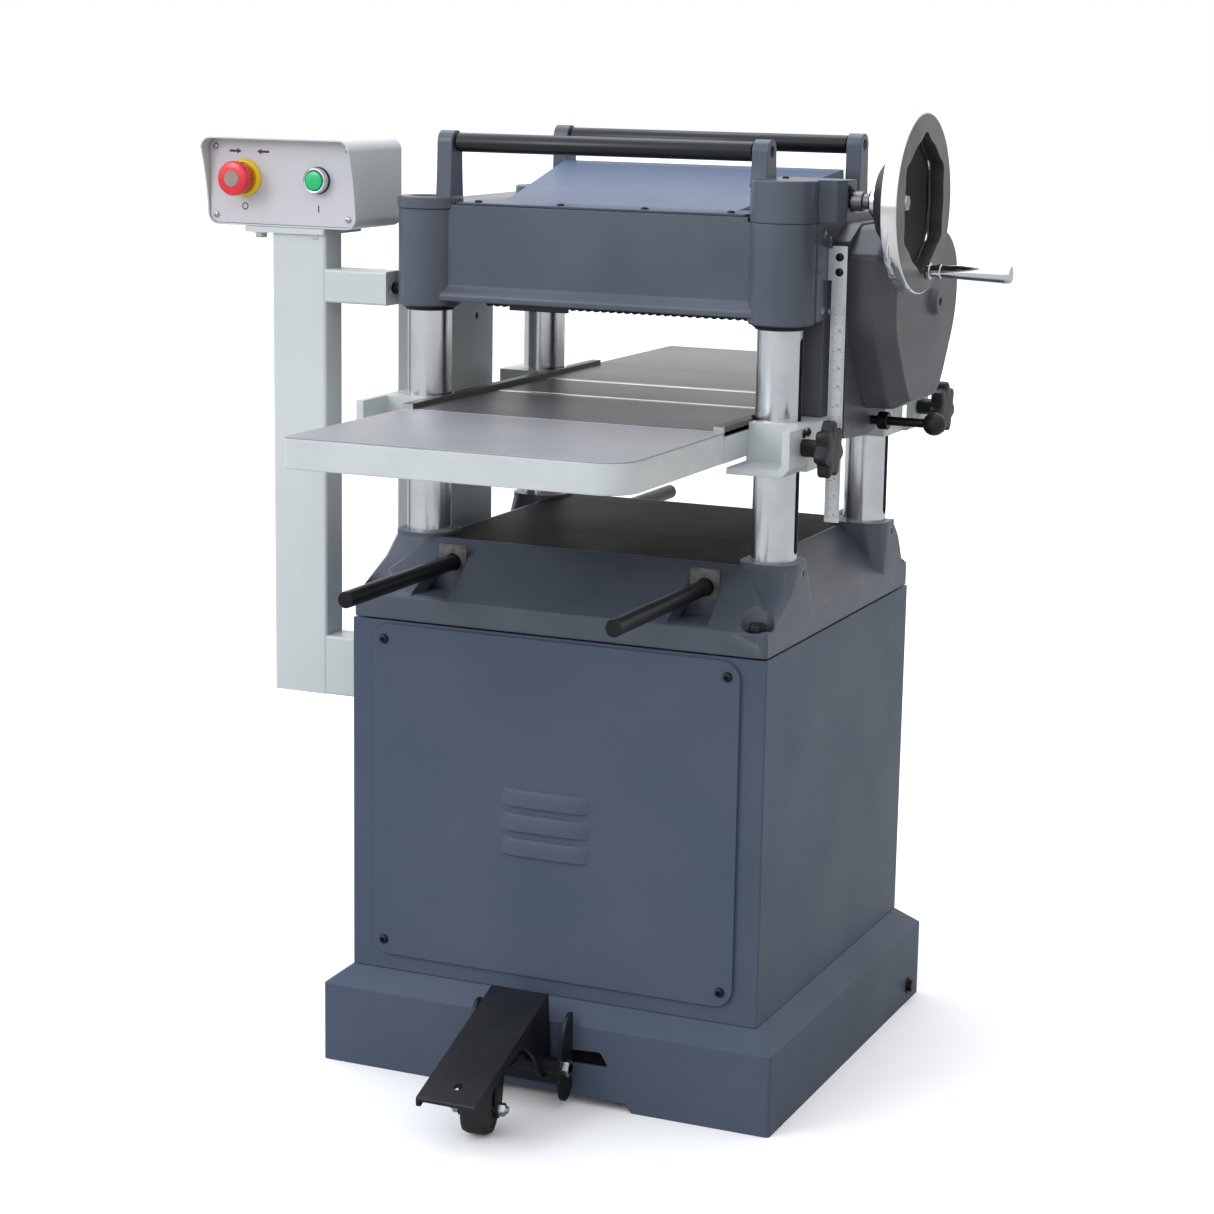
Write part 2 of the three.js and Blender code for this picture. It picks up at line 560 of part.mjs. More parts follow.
function makeWormGearbox() {
  const z0 = headTop + GAP;
  const z1 = headTop + 45;
  const { y } = wormAxis;
  const body = join(
    bar('z', 36, z0, z1, columnX, frontY, 20),
    prism('z', [[columnX + 8, frontY - 10], [columnX + 33, frontY + 8], [columnX + 36, y - 17], [columnX + 60, y - 17],
      [columnX + 60, y + 17], [columnX - 24, y + 17], [columnX - 30, frontY + 12]], z0, z1),
    lug(rollerHalf + 2, rollerHalf + 20, frontY, rollerZ, 13, 16, z1 - 1),
  );
  return cut(
    body,
    bar('z', 31.5, z0 - 1, z0 + 32, columnX, frontY, 20),
    bar('x', 14.5, columnX - 18, columnX + 40, y, wormAxis.z),
    bar('x', 8 + GAP + 0.2, columnX + 38, columnX + 61, y, wormAxis.z),
    bar('x', pinRadius + 2 * GAP, rollerHalf, rollerHalf + 13, frontY, rollerZ, 10),
  );
}

/** A capping ring with the upright lug that carries one end of a return roller. */
function makeRollerPost({ side, x, y }) {
  const z0 = headTop + GAP;
  const ring = cut(
    bar('z', capRadius, z0, z0 + 13, x, y, 20),
    bar('z', 23, z0 + 3, z0 + 14, x, y, 12),
  );
  const post = side > 0 ? lug(rollerHalf + 2, rollerHalf + 20, y, rollerZ, 13, 16, z0 + 1)
    : lug(-rollerHalf - 20, -rollerHalf - 2, y, rollerZ, 13, 16, z0 + 1);
  const pin = side > 0 ? bar('x', pinRadius + 2 * GAP, rollerHalf, rollerHalf + 13, y, rollerZ, 10)
    : bar('x', pinRadius + 2 * GAP, -rollerHalf - 13, -rollerHalf, y, rollerZ, 10);
  return cut(join(ring, post), pin);
}

function makeReturnRoller(y) {
  return join(
    bar('x', returnRollerRadius, -rollerHalf, rollerHalf, y, rollerZ, 14),
    bar('x', pinRadius, -rollerHalf - 12, rollerHalf + 12, y, rollerZ, 10),
  );
}

const fingerAxis = { y: infeedY - 52, z: headBottom + 42 };

/** Anti-kickback fingers: a bar with a row of round-nosed pawls leaning toward the outfeed. */
function makeFingers() {
  const { y, z } = fingerAxis;
  const reach = z - (headBottom - 3);
  const count = 14;
  const pitch = (2 * 160) / count;
  const nose = new THREE.Shape();
  nose.moveTo(y - 9, z);
  nose.lineTo(y - 2, z - reach + 6);
  nose.absarc(y + 4, z - reach + 6, 6, Math.PI, 2 * Math.PI);
  nose.lineTo(y + 9, z);
  nose.closePath();
  const plate = prism('x', nose, -160, 160, 2);
  const gaps = Array.from({ length: count - 1 }, (_, i) => {
    const x = -160 + pitch * (i + 1);
    return block(x - 2.2, x + 2.2, y - 20, y + 25, z - reach - 1, z - 16);
  });
  return cut(join(plate, bar('x', 11, -160, 160, y, z, 10), bar('x', 7, -232, 232, y, z, 10)), ...gaps);
}

function makeCutterhead() {
  const half = cutterLength / 2;
  const knives = [0, 1, 2].map((i) => {
    const slot = block(-half + 2, half - 2, -3, 3, cutterRadius - 6, cutterRadius - 0.2);
    return slot.rotate([i * 120, 0, 0]).translate([0, cutterY, cutterZ]);
  });
  return join(
    bar('x', cutterRadius - 2.5, -half, half, cutterY, cutterZ, 24),
    bar('x', 15, -wallOuter - 14, wallOuter + 46, cutterY, cutterZ),
    ...knives,
  );
}

function makeCutterPulley() {
  const x0 = -guardInner - guardWidth + 8;
  return cut(
    join(
      turned('x', [[0, 0], [38, 0], [34, 15], [38, 30], [0, 30]],
        x0, cutterY, cutterZ, 20),
      bar('x', 18, x0 + 20, -wallOuter - 15, cutterY, cutterZ),
    ),
    bar('x', 6, x0 - 1, x0 + 12, cutterY, cutterZ, 12),
  );
}

function makeFeedRoller(y) {
  return join(
    bar('x', feedRollerRadius, -cutterLength / 2, cutterLength / 2, y, feedRollerZ, 20),
    bar('x', 10, -wallOuter + 4, wallOuter + 30, y, feedRollerZ, 12),
    bar('x', 16, wallOuter + 20, wallOuter + 30, y, feedRollerZ, 12),
  );
}

add('head_casting', makeHead(), slateEnamel);
add('dust_hood', makeHood(), slateEnamel);
add('worm_gearbox', makeWormGearbox(), slateEnamel);
for (const c of columns.filter((column) => column.name !== 'rf')) add(`roller_post_${c.name}`, makeRollerPost(c), slateEnamel);
add('return_roller_front', makeReturnRoller(frontY), blackSteel);
add('return_roller_rear', makeReturnRoller(rearY), blackSteel);
add('kickback_fingers', makeFingers(), blackSteel);
add('cutterhead', makeCutterhead(), steel);
add('cutterhead_pulley', makeCutterPulley(), blackSteel);
add('infeed_roller', makeFeedRoller(infeedY), steel);
add('outfeed_roller', makeFeedRoller(outfeedY), steel);

// ---------------------------------------------------------------- feed gearbox and thickness scale
const casePlate = { inner: wallOuter + GAP, outer: wallOuter + 16 };
const shifter = { y: columnsCentreY + 10, z: tableTop - 12 };

function makeCasePlate() {
  const f = frontY + 66;
  const outline = [[f, headTop - 22], [f, shifter.z - 10], [f + 78, shifter.z - 15], [f + 117, shifter.z - 10],
    [f + 190, tableTop + 18], [f + 247, headBottom - 6], [f + 247, headTop - 42], [f + 202, headTop - 4], [f + 37, headTop - 4]];
  return cut(
    prism('x', outline, casePlate.inner, casePlate.outer),
    bar('x', 16, casePlate.inner - 1, casePlate.outer + 1, cutterY, cutterZ, 14),
    ...[infeedY, outfeedY].map((y) => bar('x', 17, casePlate.inner - 1, casePlate.outer + 1, y, feedRollerZ, 12)),
    bar('x', 5 + GAP + 0.1, casePlate.inner - 1, casePlate.outer + 1, shifter.y, shifter.z, 10),
  );
}

function makeCaseCover() {
  const f = frontY + 66;
  const x0 = casePlate.outer + GAP;
  const x1 = x0 + 51;
  const outline = (m) => [[f + m, headTop - 37 - m / 2], [f + m, headBottom - 7], [f + 64 + m, tableTop + 3 + m],
    [f + 174 - m, tableTop + 3 + m], [f + 193 - m, tableTop + 18 + m / 2], [f + 247 - m, headBottom - 4],
    [f + 247 - m, headTop - 42], [f + 202 - m, headTop - 6 - m], [f + 37 + m, headTop - 6 - m]];
  return cut(
    join(prism('x', outline(0), x0, x1), bar('x', 14, x1 - 1, x1 + 7, f + 149, headBottom + 14, 14)),
    prism('x', outline(6), x0 - 1, x1 - 6),
    bar('x', 5, x1 - 2, x1 + 8, f + 149, headBottom + 14, 8),
  );
}

function makeShiftRod() {
  const { y, z } = shifter;
  const x0 = casePlate.inner + 2;
  return join(
    bar('x', 5, x0, casePlate.outer + 64, y, z, 10),
    bar('x', 10, casePlate.outer + 8, casePlate.outer + 20, y, z, 12),
    solid(new THREE.SphereGeometry(13, 10, 7).translate(casePlate.outer + 73, y, z)),
  );
}

function makeScale() {
  const y = frontY + 43;
  const x0 = wallOuter + 5;
  return join(
    block(x0, x0 + 17, y - 0.9, y, bossTop + 39, headTop - 25),
    block(x0 - 4.7, x0 + 10, y - 0.5, y + 19, headTop - 62, headTop - 28),
  );
}

add('gearcase_plate', makeCasePlate(), slateEnamel);
add('gearcase_cover', makeCaseCover(), slateEnamel);
add('shift_rod', makeShiftRod(), blackPlastic);
add('thickness_scale', makeScale(), { color: 0xc9cbcb, roughness: 0.45, metalness: 0.6 });

// ---------------------------------------------------------------- elevation handwheel
function makeHandwheel() {
  const { y, z } = wormAxis;
  const back = columnX + 122;          // rear face of the rim
  const rimHole = 70;
  const disc = turned('x', [[0, -39], [16, -39], [16, -27], [38, -26], [rimHole + 4, -2], [wheelRadius - 3, 0],
    [wheelRadius, 3], [wheelRadius, wheelRim - 3], [wheelRadius - 3, wheelRim], [rimHole, wheelRim],
    [rimHole, 3], [34, -21], [17, -21], [17, -10], [0, -10]],
  back, y, z, 24);
  const shaft = join(bar('x', 8, columnX - 16, back - 30, y, z), bar('x', 13, columnX - 16, columnX + 36, y, z));
  return join(disc, shaft);
}

const grip = { angle: THREE.MathUtils.degToRad(165), radius: 74 };
function makeGrip() {
  const x0 = columnX + 122 + wheelRim;
  const y = wormAxis.y + grip.radius * Math.sin(grip.angle);
  const z = wormAxis.z + grip.radius * Math.cos(grip.angle);
  return turned('x', [[0, GAP], [6.5, GAP], [6.5, 3], [4.8, 4], [4.8, 14], [6.2, 16], [8, 34], [9.6, 60], [10, 84], [8.5, 90],
    [0, 92]], x0, y, z, 12);
}

add('handwheel', makeHandwheel(), steel);
add('handwheel_grip', makeGrip(), steel);

// ---------------------------------------------------------------- table
const bracketFloor = tableBottom - 13;
const rollerSlots = [infeedY + 8, outfeedY - 8];
const knobY = [frontY - 49, rearY + 49];
const knobZ = tableTop - 18;

/** Sleeve round a column, the open tray beyond it, and the nut arm through the column's slot. */
function makeTableCorner({ side, x, y, end, name }) {
  const outer = columnX + 46;
  const near = y + end * 33;
  const far = y + end * 87;
  const tray = [Math.min(near, far), Math.max(near, far)];
  const sleeveOuter = name === 'rr' ? columnX + 33 : outer;
  const arm = sideBlock(side, columnX + 10, columnX + 34, y - 4.2, y + 4.2, tableTop - 40, tableTop - 14);
  return {
    solids: [
      sideBlock(side, halfTable - 3, sleeveOuter, y - 33, y + 33, bracketFloor, tableTop + 3),
      sideBlock(side, halfTable - 3, outer - 1, tray[0] - 1, tray[1] + 1, bracketFloor, bracketFloor + 8),
      sideBlock(side, outer - 10, outer, tray[0] - 1, tray[1] + 1, bracketFloor, tableTop + 3),
    ],
    bore: bar('z', columnRadius + GAP + 0.3, bracketFloor - 1, tableTop + lipRise + 2, x, y, 20),
    nut: join(arm, bar('z', 13.5, tableTop - 42, tableTop - 12, x, y, 14)),
    thread: bar('z', leadScrewRadius + GAP + 0.2, bracketFloor - 1, tableTop + 4, x, y, 14),
  };
}

function makeMainTable() {
  const corners = columns.map(makeTableCorner);
  const inner = halfTable - lipWidth;
  let body = cut(
    block(-halfTable, halfTable, tableFront, tableRear, tableBottom, tableTop),
    block(-halfTable + 9, halfTable - 9, tableFront + 9, tableRear - 9, tableBottom - 1, tableTop - 12),
  );
  const lips = [-1, 1].map((s) => sideBlock(s, inner, halfTable, tableFront, tableRear, tableTop - 5, tableTop + lipRise));
  const ribs = [-150, -75, 150, 225].map((dy) => block(-halfTable + 8, halfTable - 8, columnsCentreY + dy - 4,
    columnsCentreY + dy + 4, tableBottom, tableTop - 11));
  body = join(body, ...lips, ...ribs, ...corners.flatMap((c) => c.solids));
  body = cut(
    body,
    ...corners.map((c) => c.bore),
    ...rollerSlots.map((y) => block(-inner + 4, inner - 4, y - 7, y + 7, tableTop - 13, tableTop + 1)),
    ...rollerSlots.map((y) => bar('x', bedRollerRadius + 1.5, -inner + 4, inner - 4, y, bedRollerZ, 18)),
    ...rollerSlots.map((y) => bar('x', 7 + GAP, -halfTable + 4, halfTable - 4, y, bedRollerZ, 12)),
    ...knobY.map((y) => bar('x', 6 + GAP, columnX + 30, columnX + 50, y, knobZ, 12)),
  );
  return cut(join(body, ...corners.map((c) => c.nut)), ...corners.map((c) => c.thread));
}

const bedRollerZ = tableTop + 0.2 - bedRollerRadius;

/** An extension wing. Seen from above, its one outer corner has a large radius. */
function makeWing(end) {
  const y0 = end < 0 ? tableFront - wingLength : tableRear + GAP;
  const y1 = end < 0 ? tableFront - GAP : tableRear + wingLength;
  const big = 35;
  const r = end < 0 ? [4, big, 1, 1] : [1, 1, 4, big];
  const small = end < 0 ? [1, big - 9, 1, 1] : [1, 1, 1, big - 9];
  const ribs = [-60, 60].map((x) => block(x - 4, x + 4, y0 + 8, y1 - 8, tableBottom + 4, tableTop - 9));
  return join(
    cut(
      prism('z', rounded(-halfTable, halfTable, y0, y1, ...r), tableBottom, tableTop, 5),
      prism('z', rounded(-halfTable + 9, halfTable - 9, y0 + 9, y1 - 9, ...small), tableBottom - 1, tableTop - 10, 5),
    ),
    ...ribs,
  );
}

function makeBedRoller(y) {
  const half = halfTable - lipWidth - 5;
  return join(
    bar('x', bedRollerRadius, -half, half, y, bedRollerZ, 20),
    bar('x', 7, -half - 10, half + 10, y, bedRollerZ, 12),
  );
}

/** A lobed lock knob on a screw along X. */
function makeKnob(y) {
  const x0 = columnX + 46 + GAP;
  const lobes = 7;
  const outline = Array.from({ length: lobes * 4 }, (_, i) => {
    const a = (i / (lobes * 4)) * 2 * Math.PI;
    const r = [31, 29, 24, 29][i % 4];
    return [y + r * Math.sin(a), knobZ + r * Math.cos(a)];
  }).reverse();
  return join(
    prism('x', outline, x0 + 22, x0 + 36),
    bar('x', 7.5, x0, x0 + 23, y, knobZ, 12),
    bar('x', 6, x0 - 9, x0 + 1, y, knobZ, 10),
  );
}

add('main_table', makeMainTable(), groundIron);
add('infeed_wing', makeWing(-1), groundIron);
add('outfeed_wing', makeWing(1), groundIron);
add('bed_roller_front', makeBedRoller(rollerSlots[0]), steel);
add('bed_roller_rear', makeBedRoller(rollerSlots[1]), steel);
add('lock_knob_front', makeKnob(knobY[0]), blackPlastic);
add('lock_knob_rear', makeKnob(knobY[1]), blackPlastic);

// ---------------------------------------------------------------- control arm, box and buttons
const post = {
  x0: -403, y0: frontY - postDepth / 2, bottom: 399, armTop: headBottom + 35, armBottom: headBottom - 3,
};
const control = { x0: -486, bottom: headTop - 28, front: frontY - 22, sill: 3 };
const buttonZ = control.bottom + 54;
const estopX = control.x0 + boxWidth / 2 - 48;
const startX = control.x0 + boxWidth / 2 + 48;
const panelFace = control.front + 2;

function makePost() {
  const x1 = post.x0 + postWidth;
  const y1 = post.y0 + postDepth;
  const t = 3;
  const top = control.bottom - 6 - GAP;
  const hollow = block(post.x0 + t, x1 - t, post.y0 + t, y1 - t, post.bottom - 1, top - t);
  const armEnd = -columnX - bossRadius - 10;
  const upper = block(x1 - 1, armEnd, post.y0, y1, post.armBottom, post.armTop);
  const lower = block(x1 - 1, -cabinetWidth / 2 - GAP, post.y0, y1, post.bottom, post.bottom + postWidth);
  const spacer = bar('x', 7, armEnd - 1, -columnX - bossRadius - GAP, frontY, (post.armTop + post.armBottom) / 2, 16);
  const seat = block(-437, -333, control.front - 2, control.front + 88, top - 0.5, control.bottom - GAP);
  return join(cut(block(post.x0, x1, post.y0, y1, post.bottom, top), hollow), upper, lower, spacer, seat);
}

/** The control box: a folded tray, open at the front, whose brow stands forward at the top. */
function makeControlBox() {
  const x1 = control.x0 + boxWidth;
  const z0 = control.bottom;
  const z1 = z0 + boxHeight;
  const back = control.front + boxDepth;
  const t = 2;
  const outer = prism('y', rounded(control.x0, x1, z0, z1, 13), control.front - 16, back);
  const inner = prism('y', rounded(control.x0 + t, x1 - t, z0 + t, z1 - t, 11), control.front - 17, back - t);
  const brow = prism('x', [[control.front - 17, z0 - 1], [control.front, z0 - 1], [control.front - 1, z0 + 30],
    [control.front - 16, z1 - 10], [control.front - 17, z1 - 10]], control.x0 - 1, x1 + 1);
  return cut(outer, inner, brow);
}

function makeControlPanel() {
  const t = 2 + GAP;
  const x1 = control.x0 + boxWidth - t;
  const z0 = control.bottom + t;
  const z1 = control.bottom + boxHeight - t;
  return cut(
    prism('y', rounded(control.x0 + t, x1, z0, z1, 11), panelFace, panelFace + 2.5),
    bar('y', 8 + GAP, panelFace - 1, panelFace + 4, estopX, buttonZ, 14),
    bar('y', 9 + GAP, panelFace - 1, panelFace + 4, startX, buttonZ, 14),
  );
}

function makeEstop() {
  const f = panelFace;
  return join(
    bar('y', 19.5, f - 30, f - 18, estopX, buttonZ, 20),
    bar('y', 17, f - 18.5, f - 10, estopX, buttonZ, 20),
    bar('y', 7.5, f - 11, f + 16, estopX, buttonZ, 12),
  );
}

function makeEstopCollar() {
  const f = panelFace - GAP;
  return cut(bar('y', 21.5, f - 3, f, estopX, buttonZ, 20), bar('y', 8.2, f - 4, f + 1, estopX, buttonZ, 12));
}

function makeStartBezel() {
  const f = panelFace - GAP;
  return cut(bar('y', 14.5, f - 11, f, startX, buttonZ, 20), bar('y', 11.2, f - 12, f + 1, startX, buttonZ, 16));
}

function makeStartButton() {
  return join(
    bar('y', 10.6, panelFace - 12.5, panelFace - 3, startX, buttonZ, 16),
    bar('y', 8.5, panelFace - 4, panelFace + 14, startX, buttonZ, 12),
  );
}

add('control_post', makePost(), paleEnamel);
add('control_box', makeControlBox(), paleEnamel);
add('control_panel', makeControlPanel(), { color: 0xd9d7dd, roughness: 0.35, metalness: 0.1 });
add('estop_collar', makeEstopCollar(), { color: 0xf0c400, roughness: 0.45, metalness: 0 });
add('estop_button', makeEstop(), { color: 0xd9262e, roughness: 0.4, metalness: 0 });
add('start_bezel', makeStartBezel(), steel);
add('start_button', makeStartButton(), { color: 0x1fa35a, roughness: 0.4, metalness: 0 });

// ---------------------------------------------------------------- origin under the middle of the machine
const box = new THREE.Box3().setFromObject(planer);
const middle = box.getCenter(new THREE.Vector3());
planer.position.set(-middle.x, -middle.y, -box.min.z);

export default planer;
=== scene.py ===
"""Looks of a four-column thickness planer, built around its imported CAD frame.

Shapes are worked out in millimetres from the middle of the cabinet at floor level, with the
operator at -Y, and are moved into the frame's metres when a piece is added to the bench.
"""

import json
import logging
import math
from dataclasses import dataclass, replace
from enum import Enum
from typing import Any, Sequence

import bpy
import numpy as np
from mathutils import Matrix, Vector

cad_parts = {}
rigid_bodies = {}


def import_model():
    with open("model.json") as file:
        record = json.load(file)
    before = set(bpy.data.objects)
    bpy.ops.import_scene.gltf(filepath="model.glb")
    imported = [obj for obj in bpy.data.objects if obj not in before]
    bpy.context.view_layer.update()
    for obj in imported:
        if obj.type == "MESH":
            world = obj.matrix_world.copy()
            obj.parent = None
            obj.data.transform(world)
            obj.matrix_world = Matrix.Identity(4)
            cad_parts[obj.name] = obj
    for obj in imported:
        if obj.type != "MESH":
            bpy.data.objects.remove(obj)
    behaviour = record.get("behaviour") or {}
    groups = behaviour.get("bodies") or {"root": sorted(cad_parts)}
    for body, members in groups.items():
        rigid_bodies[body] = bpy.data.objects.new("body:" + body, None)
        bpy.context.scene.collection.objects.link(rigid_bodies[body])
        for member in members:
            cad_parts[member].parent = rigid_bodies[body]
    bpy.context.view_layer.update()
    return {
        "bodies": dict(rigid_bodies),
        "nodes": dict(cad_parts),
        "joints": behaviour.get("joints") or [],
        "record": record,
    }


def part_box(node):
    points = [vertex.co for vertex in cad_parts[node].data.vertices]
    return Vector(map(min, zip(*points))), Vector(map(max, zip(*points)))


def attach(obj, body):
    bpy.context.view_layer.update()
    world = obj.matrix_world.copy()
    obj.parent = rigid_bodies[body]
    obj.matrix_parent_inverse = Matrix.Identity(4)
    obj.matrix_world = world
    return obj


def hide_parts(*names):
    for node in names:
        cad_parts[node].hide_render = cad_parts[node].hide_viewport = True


log = logging.getLogger("planer")

MM = 0.001
# The radius of the bores round the 25 mm columns, in the base and in the head.
COLUMN_BORE = 25.3


# ------------------------------------------------------------------ shapes
class Axis(Enum):
    """The axis that an outline is pushed or turned along."""

    X = 0
    Y = 1
    Z = 2


X, Y, Z = Axis


class Blend(Enum):
    """What a Boolean does with its tools."""

    CUT = "DIFFERENCE"
    JOIN = "UNION"


@dataclass(frozen=True)
class Span:
    """A box in millimetres: the lowest and highest value on each axis."""

    x0: float
    x1: float
    y0: float
    y1: float
    z0: float
    z1: float

    @property
    def x(self) -> float:
        """The middle along X."""
        return (self.x0 + self.x1) / 2

    @property
    def y(self) -> float:
        """The middle along Y."""
        return (self.y0 + self.y1) / 2

    @property
    def z(self) -> float:
        """The middle along Z."""
        return (self.z0 + self.z1) / 2


@dataclass(frozen=True)
class Skin:
    """A surface: its points in millimetres, and its faces as rows of point numbers."""

    points: np.ndarray
    faces: list[tuple[int, ...]]

    def __add__(self, other: "Skin") -> "Skin":
        """Puts two surfaces side by side in one."""
        shift = len(self.points)
        moved = [tuple(i + shift for i in face) for face in other.faces]
        return Skin(np.vstack([self.points, other.points]), self.faces + moved)

    def outward(self) -> "Skin":
        """Turns every face over where the enclosed volume comes out negative.

        The volume is a sixth of the sum of corner . (next x after) over fans of triangles.
        """
        fans = np.array([(f[0], f[i], f[i + 1]) for f in self.faces for i in range(1, len(f) - 1)])
        a, b, c = (self.points[fans[:, i]] for i in range(3))
        if np.einsum("ij,ij->i", a, np.cross(b, c)).sum() >= 0:
            return self
        return Skin(self.points, [tuple(reversed(face)) for face in self.faces])

    def moved(self, x: float = 0.0, y: float = 0.0, z: float = 0.0) -> "Skin":
        """The surface shifted by x, y, z."""
        return Skin(self.points + np.array([x, y, z]), self.faces)

    def turned(self, axis: Axis, degrees: float, centre: Sequence[float] = (0, 0, 0)) -> "Skin":
        """The surface turned about an axis through a centre.

        Args:
            axis: the axis to turn about.
            degrees: the angle, by the right-hand rule.
            centre: a point on the axis.

        Returns:
            The turned surface.
        """
        turn = np.array(Matrix.Rotation(math.radians(degrees), 3, axis.name))
        middle = np.array(centre, dtype=float)
        return Skin((self.points - middle) @ turn.T + middle, self.faces)

    def mirrored(self) -> "Skin":
        """The surface mirrored to the other side of X = 0, faces still outward."""
        return Skin(self.points * np.array([-1, 1, 1]), self.faces).outward()


def place(axis: Axis, u: np.ndarray, v: np.ndarray, t: np.ndarray) -> np.ndarray:
    """Puts outline coordinates into space.

    Args:
        axis: the axis that t runs along.
        u: the first of the other two coordinates, in the order X, Y, Z.
        v: the second one.
        t: the distance along the axis.

    Returns:
        Points with x, y, z in the last place.
    """
    order = {X: (t, u, v), Y: (u, t, v), Z: (u, v, t)}[axis]
    return np.stack(np.broadcast_arrays(*order), axis=-1).astype(float)


def loft(rings: np.ndarray, loop: bool = False) -> Skin:
    """Skins a stack of closed rings: point j of a ring joins point j of the next ring.

    Args:
        rings: points by ring, by place in the ring, by coordinate.
        loop: whether the last ring joins the first; otherwise both ends are capped.

    Returns:
        A closed surface.
    """
    m, n = rings.shape[:2]
    i, j = np.meshgrid(np.arange(m if loop else m - 1), np.arange(n), indexing="ij")
    k = (j + 1) % n
    h = (i + 1) % m
    quads = np.stack([i * n + j, i * n + k, h * n + k, h * n + j], axis=-1).reshape(-1, 4)
    faces = [tuple(q) for q in quads.tolist()]
    if not loop:
        faces.append(tuple(range(n - 1, -1, -1)))
        faces.append(tuple(range((m - 1) * n, m * n)))
    return Skin(rings.reshape(-1, 3), faces).outward()


def stack(axis: Axis, layers: Sequence[tuple[np.ndarray, float]], loop: bool = False) -> Skin:
    """Lofts outlines that have equally many points, each at its own distance along an axis.

    Args:
        axis: the axis.
        layers: pairs of an outline and its distance.
        loop: whether the last outline joins the first.

    Returns:
        A closed surface.
    """
    return loft(np.stack([place(axis, o[:, 0], o[:, 1], np.array(t)) for o, t in layers]), loop)


def slab(axis: Axis, outline: Any, low: float, high: float) -> Skin:
    """An outline pushed along an axis from one distance to another.

    Args:
        axis: the axis.
        outline: rows of the two other coordinates.
        low: where it starts.
        high: where it ends.

    Returns:
        A closed prism.
    """
    points = np.array(outline, dtype=float)
    return stack(axis, [(points, low), (points, high)])


def block(x0: float, x1: float, y0: float, y1: float, z0: float, z1: float) -> Skin:
    """A block between two corners, given as pairs along X, Y and Z."""
    return slab(Z, [(x0, y0), (x1, y0), (x1, y1), (x0, y1)], z0, z1)


def lathe(axis: Axis, profile: Any, centre: tuple[float, float], sides: int = 64,
          loop: bool = False) -> Skin:
    """Turns a profile: each of its points runs round a circle of its own radius.

    Args:
        axis: the axis of turning.
        profile: rows of radius and distance along the axis.
        centre: the other two coordinates of the axis.
        sides: points on each circle.
        loop: whether the profile closes on itself, as for a ring.

    Returns:
        A closed surface.
    """
    rows = np.array(profile, dtype=float)
    angle = np.linspace(0, 2 * math.pi, sides, endpoint=False)
    radius = rows[:, :1]
    u = centre[0] + radius * np.cos(angle)
    v = centre[1] + radius * np.sin(angle)
    return loft(place(axis, u, v, rows[:, 1:]), loop)


def bar(axis: Axis, radius: float, low: float, high: float, centre: tuple[float, float], chamfer: float = 0.8,
        sides: int = 64) -> Skin:
    """A round bar with chamfered ends.

    Args:
        axis: its axis.
        radius: its radius.
        low: one end.
        high: the other end.
        centre: the other two coordinates of its axis.
        chamfer: the chamfer at each end.
        sides: points round it.

    Returns:
        A closed surface.
    """
    profile = [(radius - chamfer, low), (radius, low + chamfer), (radius, high - chamfer),
               (radius - chamfer, high)]
    return lathe(axis, profile, centre, sides)


def drill(axis: Axis, radius: float, low: float, high: float, centre: tuple[float, float],
          sides: int = 64) -> Skin:
    """The tool for a round bore: a bar with hardly any chamfer, whose arguments are those of a bar."""
    return bar(axis, radius, low, high, centre, 0.1, sides)


def tube(axis: Axis, outer: float, inner: float, low: float, high: float, centre: tuple[float, float],
         chamfer: float = 0.6, sides: int = 64) -> Skin:
    """A round tube or ring with chamfered outer edges; the arguments are those of a bar."""
    profile = [(inner, low), (outer - chamfer, low), (outer, low + chamfer), (outer, high - chamfer),
               (outer - chamfer, high), (inner, high)]
    return lathe(axis, profile, centre, sides, loop=True)


def arc(u: float, v: float, radius: float, start: float, end: float,
        steps: int = 8) -> list[tuple[float, float]]:
    """Points on an arc round (u, v) from one angle in degrees to another."""
    angle = np.radians(np.linspace(start, end, steps + 1))
    return list(zip(u + radius * np.cos(angle), v + radius * np.sin(angle)))


def rounded(u0: float, u1: float, v0: float, v1: float, radii: Any = 4.0, steps: int = 8) -> np.ndarray:
    """A rectangle with round corners.

    Args:
        u0: its low side.
        u1: its high side.
        v0: its bottom.
        v1: its top.
        radii: one radius, or four from the corner (u0, v0) counter-clockwise.
        steps: pieces in each corner.

    Returns:
        The outline's points.
    """
    r = [radii] * 4 if isinstance(radii, (int, float)) else list(radii)
    corners = [(u0 + r[0], v0 + r[0]), (u1 - r[1], v0 + r[1]), (u1 - r[2], v1 - r[2]), (u0 + r[3], v1 - r[3])]
    points: list[tuple[float, float]] = []
    for i, (u, v) in enumerate(corners):
        points += arc(u, v, r[i], 180 + 90 * i, 270 + 90 * i, steps)
    return np.array(points)


def inset(outline: Any, by: float) -> np.ndarray:
    """An outline moved inward: each corner goes along the mean of its two sides' normals.

    Args:
        outline: rows of two coordinates.
        by: how far its sides move in.

    Returns:
        An outline with as many points.
    """
    p = np.array(outline, dtype=float)
    ahead = np.roll(p, -1, axis=0) - p
    ahead /= np.linalg.norm(ahead, axis=1, keepdims=True)
    normal = np.stack([-ahead[:, 1], ahead[:, 0]], axis=1)
    area = np.sum(p[:, 0] * np.roll(p[:, 1], -1) - np.roll(p[:, 0], -1) * p[:, 1])
    before = np.roll(normal, 1, axis=0)
    mean = (normal + before) / (1 + np.sum(normal * before, axis=1, keepdims=True))
    return p + np.sign(area) * by * mean


